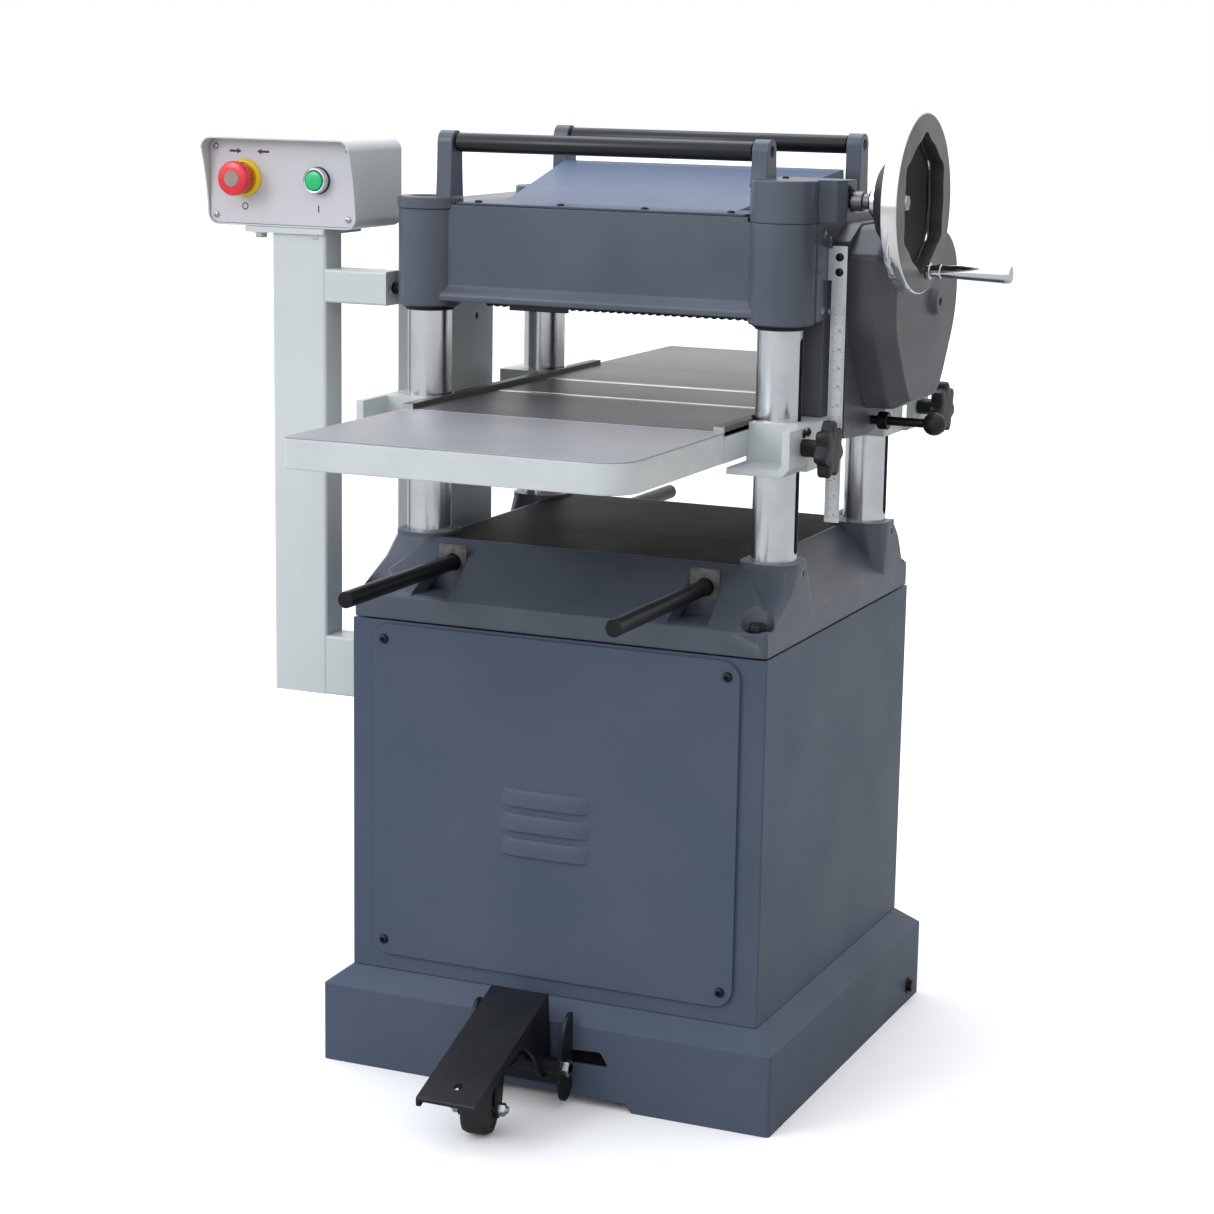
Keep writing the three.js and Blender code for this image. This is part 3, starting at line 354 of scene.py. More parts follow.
def shrunk(outline: Any, by: float) -> np.ndarray:
    """An outline scaled about the middle of its box, so that its box loses `by` on every side."""
    p = np.array(outline, dtype=float)
    low, high = p.min(axis=0), p.max(axis=0)
    middle = (low + high) / 2
    return middle + (p - middle) * (1 - 2 * by / (high - low))


def smooth_corners(outline: Any, radii: Any, steps: int = 6) -> np.ndarray:
    """Replaces each corner by a curve that leaves one side and meets the next.

    The curve is the quadratic (1-t)^2 A + 2t(1-t) C + t^2 B between points A and B that lie
    one radius along the sides from the corner C.

    Args:
        outline: rows of two coordinates.
        radii: one distance, or one for each corner.
        steps: pieces in each curve.

    Returns:
        The smoother outline.
    """
    c = np.array(outline, dtype=float)
    r = np.broadcast_to(np.array(radii, dtype=float), (len(c),))[:, None]
    back = np.roll(c, 1, axis=0) - c
    on = np.roll(c, -1, axis=0) - c
    a = c + back * np.minimum(r / np.linalg.norm(back, axis=1, keepdims=True), 0.48)
    b = c + on * np.minimum(r / np.linalg.norm(on, axis=1, keepdims=True), 0.48)
    t = np.linspace(0, 1, steps + 1)[None, :, None]
    curve = (1 - t) ** 2 * a[:, None] + 2 * t * (1 - t) * c[:, None] + t ** 2 * b[:, None]
    return curve.reshape(-1, 2)


def link(item: bpy.types.Object) -> None:
    """Puts an object into the scene."""
    bpy.context.scene.collection.objects.link(item)


def boolean(base: Skin, tools: Sequence[Skin], how: Blend) -> Skin:
    """Cuts or joins solids.

    Args:
        base: the first solid.
        tools: the other solids.
        how: what is done with them.

    Returns:
        The resulting surface.
    """
    objects = []
    for skin in (base, *tools):
        mesh = bpy.data.meshes.new("tool")
        mesh.from_pydata((skin.points * MM).tolist(), [], skin.faces)
        objects.append(bpy.data.objects.new("tool", mesh))
        link(objects[-1])
    for tool in objects[1:]:
        modifier = objects[0].modifiers.new("boolean", "BOOLEAN")
        modifier.operation = how.value
        modifier.solver = "EXACT"
        modifier.object = tool
    graph = bpy.context.evaluated_depsgraph_get()
    result = bpy.data.meshes.new_from_object(objects[0].evaluated_get(graph))
    points = np.empty(len(result.vertices) * 3)
    result.vertices.foreach_get("co", points)
    faces = [tuple(polygon.vertices) for polygon in result.polygons]
    for item in objects:
        bpy.data.meshes.remove(item.data)
    bpy.data.meshes.remove(result)
    return Skin(points.reshape(-1, 3) / MM, faces)


def cut(base: Skin, *tools: Skin) -> Skin:
    """The base with the tools' spaces taken out of it."""
    return boolean(base, tools, Blend.CUT)


def join(base: Skin, *tools: Skin) -> Skin:
    """One solid out of several that overlap."""
    return boolean(base, tools, Blend.JOIN)


def sum_of(skins: Sequence[Skin]) -> Skin:
    """Several separate surfaces as one."""
    total = skins[0]
    for skin in skins[1:]:
        total = total + skin
    return total


# ------------------------------------------------------------------ fasteners
class Way(Enum):
    """Which way a screw's head faces: its axis and sense."""

    RIGHT = (X, 1)
    LEFT = (X, -1)
    FRONT = (Y, -1)
    REAR = (Y, 1)
    UP = (Z, 1)
    DOWN = (Z, -1)


def facing(way: Way, at: Sequence[float]) -> tuple[float, tuple[float, float]]:
    """Splits a seat point into its distance along the head's axis and the other two coordinates."""
    axis = way.value[0].value
    rest = tuple(at[i] for i in range(3) if i != axis)
    return at[axis], rest


def head_turned(way: Way, at: Sequence[float], profile: Any, sides: int = 32) -> Skin:
    """A turned head that rises from a seat point; its profile is radius and height."""
    t, centre = facing(way, at)
    rows = [(r, t + way.value[1] * h) for r, h in profile]
    return lathe(way.value[0], rows, centre, sides)


def hex_head(way: Way, at: Sequence[float], across: float, height: float, sink: float = 0.5) -> Skin:
    """A hexagon head with a chamfered top, across its flats."""
    r = across / math.sqrt(3)
    return head_turned(way, at, [(r, -sink), (r, height * 0.8), (r * 0.88, height)], sides=6)


def washer(way: Way, at: Sequence[float], radius: float, height: float) -> Skin:
    """A plain washer."""
    return head_turned(way, at, [(radius - 0.2, -0.2), (radius, 0), (radius, height - 0.3),
                                 (radius - 0.3, height)])


def socket_button(way: Way, at: Sequence[float], radius: float) -> Skin:
    """A button head with a hexagon socket: a dome that drops into the socket's floor."""
    dome = head_turned(way, at, [(radius * 0.98, -0.4), (radius, 0.3), (radius * 0.9, radius * 0.35),
                                 (radius * 0.62, radius * 0.55), (radius * 0.3, radius * 0.6)])
    hole = head_turned(way, at, [(radius * 0.42, radius * 0.1), (radius * 0.42, radius)], sides=6)
    return cut(dome, hole)


def cross_screw(way: Way, at: Sequence[float], radius: float) -> Skin:
    """A pan head with a cross recess."""
    t, (u, v) = facing(way, at)
    axis, sense = way.value
    dome = head_turned(way, at, [(radius, -0.4), (radius, radius * 0.3), (radius * 0.75, radius * 0.6),
                                 (radius * 0.3, radius * 0.72)])
    near, far = t + sense * radius * 0.3, t + sense * radius
    arm, half = radius * 0.55, radius * 0.12
    bars = [slab(axis, rounded(u - a, u + a, v - b, v + b, 0.05, 1), near, far)
            for a, b in ((arm, half), (half, arm))]
    return cut(dome, *bars)


# ------------------------------------------------------------------ finishes
def linear(hex_colour: str) -> tuple[float, float, float, float]:
    """Turns an sRGB hex colour into the linear values that a shader takes.

    Args:
        hex_colour: six hex digits after a hash.

    Returns:
        Linear red, green, blue and a full alpha.
    """
    values = np.array([int(hex_colour[i:i + 2], 16) for i in (1, 3, 5)]) / 255
    light = np.where(values <= 0.04045, values / 12.92, ((values + 0.055) / 1.055) ** 2.4)
    return (*light.tolist(), 1.0)


def add_node(tree: bpy.types.NodeTree, kind: str, inputs: dict[Any, Any] | None = None, **settings: Any) -> Any:
    """Adds a node with its settings, its socket values and its links.

    Args:
        tree: the node tree.
        kind: the node's type name.
        inputs: for each socket, a value or an output to link from.
        settings: the node's own properties.

    Returns:
        The new node.
    """
    node = tree.nodes.new(kind)
    for key, value in settings.items():
        setattr(node, key, value)
    for socket, value in (inputs or {}).items():
        if isinstance(value, bpy.types.NodeSocket):
            tree.links.new(value, node.inputs[socket])
        else:
            node.inputs[socket].default_value = value
    return node


@dataclass(frozen=True)
class Finish:
    """A surface finish. Lengths are millimetres; a pattern's stretch is along X, Y and Z."""

    name: str
    slot: str
    colour: str
    tint: str
    roughness: float
    metallic: float = 0.0
    mottle: float = 60.0
    grain: float = 2.0
    relief: float = 0.02
    smudge: float = 0.05
    stretch: tuple[float, float, float] = (1.0, 1.0, 1.0)
    coat: float = 0.0
    fillet: float = 0.0
    specular: float = 0.5

    def build(self) -> bpy.types.Material:
        """Makes the material: a slow wander of colour and gloss, and the grain as relief.

        Returns:
            The material, or the one made before under the same name.
        """
        known = bpy.data.materials.get(self.name)
        if known:
            return known
        material = bpy.data.materials.new(self.name)
        material.use_nodes = True
        tree = material.node_tree
        tree.nodes.clear()
        place_on = add_node(tree, "ShaderNodeTexCoord").outputs["Object"]
        along = add_node(tree, "ShaderNodeMapping",
                         {"Vector": place_on, "Scale": tuple(1 / s for s in self.stretch)})
        cloud = add_node(tree, "ShaderNodeTexNoise", {"Vector": place_on, "Scale": 1 / (self.mottle * MM),
                                                      "Detail": 3.0})
        fine = add_node(tree, "ShaderNodeTexNoise", {"Vector": along.outputs[0], "Scale": 1 / (self.grain * MM),
                                                     "Detail": 2.0})
        spread = add_node(tree, "ShaderNodeMapRange", {"Value": cloud.outputs[0], "From Min": 0.35,
                                                       "From Max": 0.65})
        colour = add_node(tree, "ShaderNodeMix", {0: spread.outputs[0], 6: linear(self.colour),
                                                  7: linear(self.tint)},
                          data_type="RGBA")
        gloss_mix = add_node(tree, "ShaderNodeMath", {0: cloud.outputs[0], 1: fine.outputs[0]}, operation="ADD")
        gloss = add_node(tree, "ShaderNodeMapRange", {
            "Value": gloss_mix.outputs[0], "From Min": 0.7, "From Max": 1.3,
            "To Min": max(self.roughness - self.smudge, 0.02), "To Max": self.roughness + self.smudge})
        bump_inputs = {"Height": fine.outputs[0], "Strength": 1.0, "Distance": self.relief * MM}
        if self.fillet:
            soft = add_node(tree, "ShaderNodeBevel", {"Radius": self.fillet * MM}, samples=4)
            bump_inputs["Normal"] = soft.outputs[0]
        bump = add_node(tree, "ShaderNodeBump", bump_inputs)
        shader = add_node(tree, "ShaderNodeBsdfPrincipled", {
            "Base Color": colour.outputs[2], "Roughness": gloss.outputs[0], "Normal": bump.outputs[0],
            "Metallic": self.metallic, "Specular IOR Level": self.specular, "Coat Weight": self.coat,
            "Coat Roughness": 0.12})
        add_node(tree, "ShaderNodeOutputMaterial", {"Surface": shader.outputs[0]})
        return material


# Baked semi-gloss enamel on folded sheet steel: a soft blue-grey sheen with a faint orange peel.
SLATE_SHEET = Finish("slate_enamel_on_sheet", "slate_enamel", "#4b5464", "#465060", 0.34, 0.0, 140, 4.0, 0.012,
                     0.05,
                     specular=0.1)
# The same enamel on the chip deflector, glossier, and tinted bluer all over: a painted reflection of the sky
# that the ramp looks up at.
SKY_TINTED_SLATE = Finish("slate_enamel_on_deflector", "slate_enamel", "#475873", "#42536d", 0.4, 0.0, 140, 6.0, 0.004,
                    0.05, coat=0.05,
                    specular=0.3)
# The same enamel over sand-cast iron: the grit shows through as a livelier surface with soft edges.
SLATE_CAST = Finish("slate_enamel_on_casting", "slate_enamel", "#4d535e", "#464c57", 0.33, 0.0, 90, 9.0, 0.03,
                    0.05, coat=0.05, specular=0.28,
                    fillet=2.2)
# Dark grey enamel baked on the feed gear case, a little duller and more neutral than the cabinet.
SLATE_CASE = Finish("grey_enamel_on_gear_case", "slate_enamel", "#4b4d53", "#45474c", 0.36, 0.0, 80, 5.0, 0.03,
                    0.05, coat=0.06, specular=0.3,
                    fillet=1.5)
# Pale grey-green enamel on folded and welded steel: satin, with slow variation.
PALE_SHEET = Finish("pale_enamel_on_sheet", "pale_enamel", "#bcc2c3", "#b5bbbc", 0.38, 0.0, 160, 4.0, 0.012,
                    0.05,
                    coat=0.2)
# The same pale enamel on the table's casting, over a sandy skin.
PALE_CAST = Finish("pale_enamel_on_casting", "pale_enamel", "#bcc1c2", "#b4babb", 0.4, 0.0, 40, 6.0, 0.08, 0.05,
                   coat=0.2, fillet=1.6)
# Ground grey cast iron: grinding lines run across the feed, so light smears along them.
GROUND_IRON = Finish("ground_cast_iron", "ground_iron", "#97979a", "#8f8f92", 0.4, 0.3, 160, 1.2, 0.003, 0.03,
                     specular=0.25, stretch=(60.0, 1.0, 1.0))
# The same ground top on the main table and the outfeed wing, coloured darker: painted shade from the head over
# them.
SHADED_GROUND_IRON = replace(GROUND_IRON, name="worn_ground_iron", colour="#5f5f61", tint="#59595b")
# The bed under the table: bare iron, coloured near black-brown.
BED_IRON = Finish("oiled_bed_iron", "ground_iron", "#1f1c19", "#191613", 0.52, 0.0, 110, 1.4, 0.004, 0.06,
                  specular=0.06)
# The table's upright side lips: the same ground iron, coloured darker all over as painted shade for their
# shadowed inner faces.
SHADED_LIP_IRON = Finish("darkened_lip_iron", "ground_iron", "#4a4847", "#403e3d", 0.4, 0.3, 90, 1.4, 0.004, 0.05)
# Near-white metal strips on the table's front seam and along the roller slots: a painted highlight that stands
# in for the glints of the gaps and the roller crowns.
PAINTED_GLINT = Finish("bright_broken_edge", "polished_steel", "#f2f2f2", "#e8e8e8", 0.55, 1.0, 60, 1.0, 0.002,
                     0.04)
# Milled cast iron left bare in the rod pockets: coarse, pale and dull.
MILLED_IRON = Finish("milled_cast_iron", "ground_iron", "#6a6967", "#504f4e", 0.5, 0.8, 12, 2.5, 0.12, 0.1)
# Ground and polished round steel: fine rings round the bar.
TURNED_STEEL = Finish("ground_round_steel", "polished_steel", "#dfe1e5", "#cfd1d5", 0.2, 1.0, 45, 0.8, 0.0015,
                      0.05,
                      stretch=(40.0, 40.0, 1.0))
# Turned steel across the machine: rings round X.
CROSS_STEEL = replace(TURNED_STEEL, name="turned_cross_steel", stretch=(1.0, 40.0, 40.0))
# Black oxide on steel: near black, with a dry oily sheen.
BLACK_OXIDE = Finish("black_oxide_steel", "black_oxide", "#101113", "#17181a", 0.36, 0.55, 30, 1.6, 0.02, 0.08)
# Black powder coat on the pedal and caster: a fine even grit.
BLACK_COAT = Finish("black_powder_coat", "black_oxide", "#121419", "#191b20", 0.42, 0.0, 50, 1.8, 0.05, 0.06,
                    specular=0.3)
# Anodised dark tube of the return rollers: smooth, with long soft reflections.
BLACK_TUBE = Finish("black_anodised_tube", "black_oxide", "#191c20", "#141619", 0.3, 0.35, 80, 1.4, 0.006, 0.05,
                    stretch=(30.0, 1.0, 1.0))
# Solid rubber tyre: matt, with a moulded grain.
RUBBER = Finish("solid_rubber", "black_rubber", "#1b1c1f", "#222327", 0.72, 0.0, 20, 1.5, 0.06, 0.08)
# Moulded phenolic: a dark, slightly glossy plastic.
PHENOLIC = Finish("moulded_phenolic", "black_plastic", "#121315", "#191a1c", 0.42, 0.0, 40, 2.5, 0.02, 0.07,
                  specular=0.3)
# Polished aluminium rim: bright, with fine turned rings.
POLISHED_ALUMINIUM = Finish("polished_aluminium", "polished_aluminium", "#9a9ca0", "#8b8d91", 0.27, 1.0, 50, 0.9,
                            0.004, 0.05,
                            stretch=(1.0, 8.0, 8.0))
# Turned front face of the rim, and the shaft: the same aluminium, dull, and coloured dark all over as painted
# shade, since the face looks away from the light.
SHADED_ALUMINIUM = Finish("turned_rim_face", "polished_aluminium", "#6f6e6e", "#646363", 0.34, 1.0, 50, 0.9, 0.004,
                     0.06)
# Textured black coat inside the handwheel's dish.
DISH_COAT = Finish("black_dish_coat", "black_plastic", "#17181a", "#202123", 0.55, 0.0, 30, 1.6, 0.08, 0.08)
# Chromium plate: mirror-like with a cold tone.
CHROME = Finish("chromium_plate", "chrome", "#d5d8da", "#cbcfd2", 0.08, 1.0, 60, 3.0, 0.001, 0.02)
# Bright zinc plate on small screws.
ZINC = Finish("zinc_plate", "polished_steel", "#b9bdbd", "#9fa4a6", 0.3, 1.0, 6, 0.8, 0.004, 0.08)
# Brushed aluminium strip: dull silver with lines along its length.
BRUSHED_ALUMINIUM = Finish("brushed_aluminium", "scale_aluminium", "#d4d7db", "#c9ccd0", 0.38, 0.85, 60, 0.7,
                           0.003, 0.05,
                           stretch=(1.0, 1.0, 40.0))
# Painted panel face: an even light grey, nearly matt.
PANEL_FACE = Finish("painted_panel", "light_legend", "#bdbcc1", "#b6b5bb", 0.42, 0.0, 120, 2.0, 0.006, 0.04)
# Screen ink for marks and graduations.
INK = Finish("black_screen_ink", "black_plastic", "#1c1c1f", "#242427", 0.5, 0.0, 10, 1.0, 0.002, 0.04)
# Injection-moulded plastics of the push buttons: even, glossy colours.
RED_PLASTIC = Finish("red_moulded_plastic", "red_plastic", "#d6202c", "#cb1a27", 0.3, 0.0, 30, 2.0, 0.01, 0.04,
                     coat=0.3)
YELLOW_PLASTIC = Finish("yellow_moulded_plastic", "yellow_plastic", "#eec60c", "#e4bb08", 0.36, 0.0, 30, 2.0,
                        0.01, 0.04)
GREEN_PLASTIC = Finish("green_moulded_plastic", "green_plastic", "#00b268", "#00a65f", 0.3, 0.0, 30, 2.0, 0.01,
                       0.04,
                       coat=0.3)
GREY_PLASTIC = Finish("grey_moulded_plastic", "light_legend", "#8f7f7d", "#857674", 0.45, 0.0, 20, 1.5, 0.02,
                      0.04)


# ------------------------------------------------------------------ bench
class Bench:
    """Where pieces are put together: it knows the frame's nodes and turns skins into pieces."""

    def __init__(self, frame: dict[str, Any]) -> None:
        """Takes the loaded frame and finds the middle of the cabinet."""
        self.frame = frame
        low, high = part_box("cabinet_shell")
        self.origin = np.array([(low[0] + high[0]) / 2, (low[1] + high[1]) / 2, 0.0]) / MM
        self.count = 0

    def span(self, node: str) -> Span:
        """A CAD node's box in millimetres from the middle of the cabinet."""
        low, high = (np.array(corner) / MM - self.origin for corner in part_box(node))
        return Span(low[0], high[0], low[1], high[1], low[2], high[2])

    def add(self, name: str, skin: Skin, finish: Finish, body: str = "machine", bevel: float = 0.0,
            replaces: Sequence[str] = (), segments: int = 2, thickness: float = 0.0, sharp: float = 35.0) -> Any:
        """Makes a finished piece of a surface.

        Args:
            name: the piece's name.
            skin: its surface in millimetres.
            finish: what it is finished in.
            body: the CAD body it rides on.
            bevel: the rounding of its edges in millimetres.
            replaces: the CAD nodes it stands for.
            segments: faces across each rounded edge.
            thickness: a wall added inward to an open sheet.
            sharp: the angle above which an edge stays crisp.

        Returns:
            The new object.
        """
        mesh = bpy.data.meshes.new(name)
        mesh.from_pydata(((skin.points + self.origin) * MM).tolist(), [], skin.faces)
        mesh.polygons.foreach_set("use_smooth", np.ones(len(mesh.polygons), dtype=bool))
        mesh.set_sharp_from_angle(angle=math.radians(sharp))
        mesh.materials.append(finish.build())
        mesh.update()
        piece = bpy.data.objects.new(name, mesh)
        link(piece)
        if thickness:
            wall = piece.modifiers.new("wall", "SOLIDIFY")
            wall.thickness = thickness * MM
            wall.offset = -1.0
        if bevel:
            edge = piece.modifiers.new("edge", "BEVEL")
            edge.width = bevel * MM
            edge.segments = segments
            edge.limit_method = "ANGLE"
            edge.angle_limit = math.radians(30)
            piece.modifiers.new("normals", "WEIGHTED_NORMAL").keep_sharp = True
        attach(piece, body)
        if replaces:
            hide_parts(*replaces)
        self.count += 1
        log.info("%s: %d faces in %s on %s", name, len(skin.faces), finish.name, body)
        return piece

    def dress(self, node: str, finish: Finish) -> None:
        """Gives a CAD node that stays a better material."""
        slots = self.frame["nodes"][node].material_slots
        for slot in slots:
            slot.material = finish.build()
        log.info("%s: kept, in %s", node, finish.name)


@dataclass
class Assembly:
    """A sub-assembly: it takes boxes from the bench, and puts its pieces there."""

    bench: Bench

    def span(self, node: str) -> Span:
        """A CAD node's box in millimetres from the middle of the cabinet."""
        return self.bench.span(node)

    def spans(self, *nodes: str) -> list[Span]:
        """The boxes of several CAD nodes."""
        return [self.bench.span(node) for node in nodes]

    def corners(self) -> list[tuple[str, float, float, int, int]]:
        """The four columns: name, middle along X and Y, and the sides that they are on."""
        rows = []
        for name in ("lf", "rf", "lr", "rr"):
            c = self.span(f"column_{name}")
            rows.append((name, c.x, c.y, 1 if c.x > 0 else -1, -1 if name.endswith("f") else 1))
        return rows

    def add(self, name: str, skin: Skin, finish: Finish, body: str = "machine", **settings: Any) -> None:
        """Puts a finished piece on the bench, with the settings that Bench.add takes."""
        self.bench.add(name, skin, finish, body, **settings)

    def dress(self, node: str, finish: Finish) -> None:
        """Gives a CAD node that stays a better material."""
        self.bench.dress(node, finish)


# ------------------------------------------------------------------ base
@dataclass
class BaseSkirt(Assembly):
    """The folded skirt that the cabinet stands on, with its two small rear wheels."""

    sheet: float = 4.0
    upright: float = 91.0
    corner: float = 5.0
    arch_in: float = 158.0
    arch_rise: float = 10.0

    def shell(self) -> None:
        """Folds the skirt: rings go up the outside, in over the chamfer and down the inside."""
        s, c = self.spans("base_skirt", "cabinet_shell")

        def ring(box: Span, margin: float, radius: float) -> np.ndarray:
            """A box's outline moved in by a margin, with round corners."""
            return rounded(box.x0 + margin, box.x1 - margin, box.y0 + margin, box.y1 - margin, radius)

        t, top = self.sheet, s.z1
        body = stack(Z, [
            (ring(s, 0, self.corner), 0), (ring(s, 0, self.corner), self.upright), (ring(c, 0, 4), top),
            (ring(c, 40, 4), top), (ring(c, 40, 4), top - 2.5), (ring(c, t, 3), top - 3),
            (ring(s, t, 3), self.upright - 2), (ring(s, t, 3), 0)], loop=True)
        w, front = s.x1, s.y0
        arch = slab(Y, [(-w + self.arch_in, -5), (w - self.arch_in, -5), (w - self.arch_in - 9, self.arch_rise),
                        (-w + self.arch_in + 9, self.arch_rise)], front - 5, front + 9)
        latch = slab(Y, smooth_corners([(36, 47), (84, 48), (74, 64), (36, 62)], 3), front - 5, front + 9)
        self.add("skirt_shell", cut(body, arch, latch), SLATE_SHEET, bevel=1.2, replaces=["base_skirt"])

    def wheels(self) -> None:
        """Turns the rear wheels, with a tyre crown and a hub, and adds their axle bolts outside."""
        for side, body in ((-1, "rear_wheel_left"), (1, "rear_wheel_right")):
            b = self.span(body)
            r = (b.z1 - b.z0) / 2
            rows = [(5.5, b.x0 + 2), (9, b.x0 + 1), (r - 6, b.x0 + 2), (r - 4, b.x0), (r - 1.2, b.x0 + 1.5),
                    (r, b.x0 + 6), (r, b.x1 - 6), (r - 1.2, b.x1 - 1.5), (r - 4, b.x1), (r - 6, b.x1 - 2),
                    (9, b.x1 - 1),
                    (5.5, b.x1 - 2)]
            self.add(f"{body}_tyre", lathe(X, rows, (b.y, b.z), loop=True), RUBBER, body, replaces=[body])
            s = self.span("base_skirt")
            way, face = (Way.RIGHT, s.x1) if side > 0 else (Way.LEFT, s.x0)
            axle = bar(X, 5, min(face, b.x), max(face, b.x), (b.y, b.z))
            head = hex_head(way, (face + side * 1.5, b.y, b.z), 13, 5)
            bolt = washer(way, (face, b.y, b.z), 10, 1.6) + head + axle
            self.add(f"axle_bolt_{'right' if side > 0 else 'left'}", bolt, BLACK_OXIDE)

    def build(self) -> None:
        """Builds the skirt and its wheels."""
        self.shell()
        self.wheels()


@dataclass
class PedalCaster(Assembly):
    """The foot pedal on its bracket, and the swivel caster that it pushes down."""

    width: float = 69.0
    plate: float = 5.0
    wall: float = 4.0
    cheek_half: float = 55.5
    pin: tuple[float, float] = (-285.0, 48.0)
    swivel: tuple[float, float] = (-16.5, -365.0)
    yaw: float = 12.0
    trail: float = 25.0
    leg_half: float = 20.0

    def bracket(self) -> None:
        """Cuts the bracket's two cheeks and their back plate, and turns the pedal's pin."""
        b = self.span("pedal_bracket")
        x, face, (py, pz) = self.swivel[0], b.y1, self.pin
        outline = smooth_corners([(face, 106), (face, 20), (-275, 9), (-284, 8), (-293, 14), (-300, 46),
                                  (-288, 92),
                                  (-276, 106)], [1, 1, 8, 8, 12, 30, 30, 10])
        cheeks = [slab(X, outline, x + s * self.cheek_half - 2, x + s * self.cheek_half + 2) for s in (-1, 1)]
        back = block(x - self.cheek_half - 2, x + self.cheek_half + 2, face - 4, face, 20, 40)
        self.add("pedal_bracket_cheeks", join(back, *cheeks), BLACK_COAT, bevel=0.8, replaces=["pedal_bracket"])
        end = self.cheek_half + 9
        pin = bar(X, 6, x - end, x + end, (py, pz))
        nuts = hex_head(Way.RIGHT, (x + end - 6, py, pz), 17,
                        6) + hex_head(Way.LEFT, (x - end + 6, py, pz), 17, 6)
        self.add("pedal_pin", pin + nuts, ZINC)

    def pedal(self) -> None:
        """Folds the pedal: a sloping plate with two flanges, a stem, a caster mount and a pivot sleeve."""
        b = self.span("foot_pedal")
        x, (sx, sy), (py, pz), half = self.swivel[0], self.swivel, self.pin, self.width / 2
        y0, z0, y1, z1 = -280.0, b.z1, b.y0, 60.0
        slope = (z1 - z0) / (y1 - y0)
        t = self.plate

        def drop(y: float) -> float:
            """The plate's height at a distance y."""
            return z0 + slope * (y - y0)

        tread = slab(X, smooth_corners([(y0, z0), (y0, z0 - t), (y1, z1 - t), (y1, z1)], [2, 1, 2, 2], 3),
                     x - half, x + half)
        side = smooth_corners([(y0, z0 - 0.5), (y0 + 6, 70), (y0 + 6, 40), (py - 2, 33), (-301, 40), (-312, 64),
                               (-345, drop(-345) - 13), (y1, z1 - 12), (y1, z1 - 0.5)],
                              [1, 8, 8, 10, 8, 14, 20, 6, 1], 4)
        flanges = [slab(X, side, *sorted((x + s * half, x + s * (half - self.wall)))) for s in (-1, 1)]
        crown = self.span("caster_yoke").z1
        mount = slab(Z, rounded(x - half + 1, x + half - 1, sy - 28, sy + 28, 3), crown + 1, crown + 5)
        stem = slab(X, [(sy - 2, crown + 3), (sy + 26, crown + 3), (sy + 26, drop(sy + 26) - 2),
                        (sy - 2, drop(sy - 2) - 2)], x - 20, x + 20)
        sleeve = bar(X, 9.5, x - half - 18, x + half + 18, (py, pz), 1.0, 48)
        hole = bar(Z, 5, 40, 100, (x + 3, y1 + 25), sides=32)
        bore = drill(X, 6.5, x - half - 19, x + half + 19, (py, pz), 48)
        shape = cut(join(tread, *flanges, mount, stem, sleeve), bore, hole)
        self.add("pedal_plate", shape, BLACK_COAT, "foot_pedal", bevel=0.7, replaces=["foot_pedal"])
        swivel_bolt = bar(Z, 6, crown - 9, crown + 4, (sx, sy)) + hex_head(Way.DOWN, (sx, sy, crown - 5), 17, 5)
        self.add("swivel_bolt", swivel_bolt, ZINC, "foot_pedal")

    def caster(self) -> None:
        """Builds the caster straight ahead, then turns it by its yaw about the swivel."""
        sx, sy = self.swivel
        crown = self.span("caster_yoke").z1
        r = 28.0
        az = r + 2
        cy = sy - self.trail
        half = self.leg_half

        def turn(skin: Skin) -> Skin:
            """Turns a piece with the caster."""
            return skin.turned(Z, self.yaw, (sx, sy, 0))

        disc = tube(Z, 24, 6.5, crown - 4, crown, (sx, sy), 1.2)
        race = tube(Z, 17, 7, crown - 8, crown - 4, (sx, sy), 1.5)
        bridge = cut(slab(Z, rounded(sx - half - 3, sx + half + 3, cy - 4, sy, 3), crown - 4.2, crown - 0.2),
                     bar(Z, 6.5, crown - 10, crown + 2, (sx, sy)))
        leg = smooth_corners([(cy - 9, az), (cy - 7, az - 9), (cy + 7, az - 9), (cy + 10, az),
                              (sy - 2, crown - 1),
                              (cy - 3, crown - 1)], [6, 6, 6, 6, 3, 3], 5)
        legs = [slab(X, leg, sx + s * half - 2, sx + s * half + 2) for s in (-1, 1)]
        yoke = join(disc, bridge, *legs) + race
        self.add("caster_fork", turn(yoke), BLACK_COAT, "caster_yoke", bevel=0.6, replaces=["caster_yoke"])
        axle = bar(X, 4, sx - half - 12, sx + half + 12, (cy, az), sides=32)
        nuts = hex_head(Way.RIGHT, (sx + half + 2, cy, az), 13,
                        7) + hex_head(Way.LEFT, (sx - half - 2, cy, az), 13, 7)
        self.add("caster_axle", turn(axle + nuts), ZINC, "caster_yoke")
        rows = [(4.6, sx - 15.5), (9, sx - 16), (r - 9, sx - 14.5), (r - 7, sx - 16.5), (r - 2.5, sx - 15),
                (r - 0.4, sx - 10), (r, sx), (r - 0.4, sx + 10), (r - 2.5, sx + 15), (r - 7, sx + 16.5),
                (r - 9, sx + 14.5), (9, sx + 16),
                (4.6, sx + 15.5)]
        wheel = lathe(X, rows, (cy, az), loop=True)
        self.add("caster_tyre", turn(wheel), RUBBER, "caster_wheel", replaces=["caster_wheel"], sharp=50)

    def build(self) -> None:
        """Builds the bracket, the pedal and the caster."""
        self.bracket()
        self.pedal()
        self.caster()


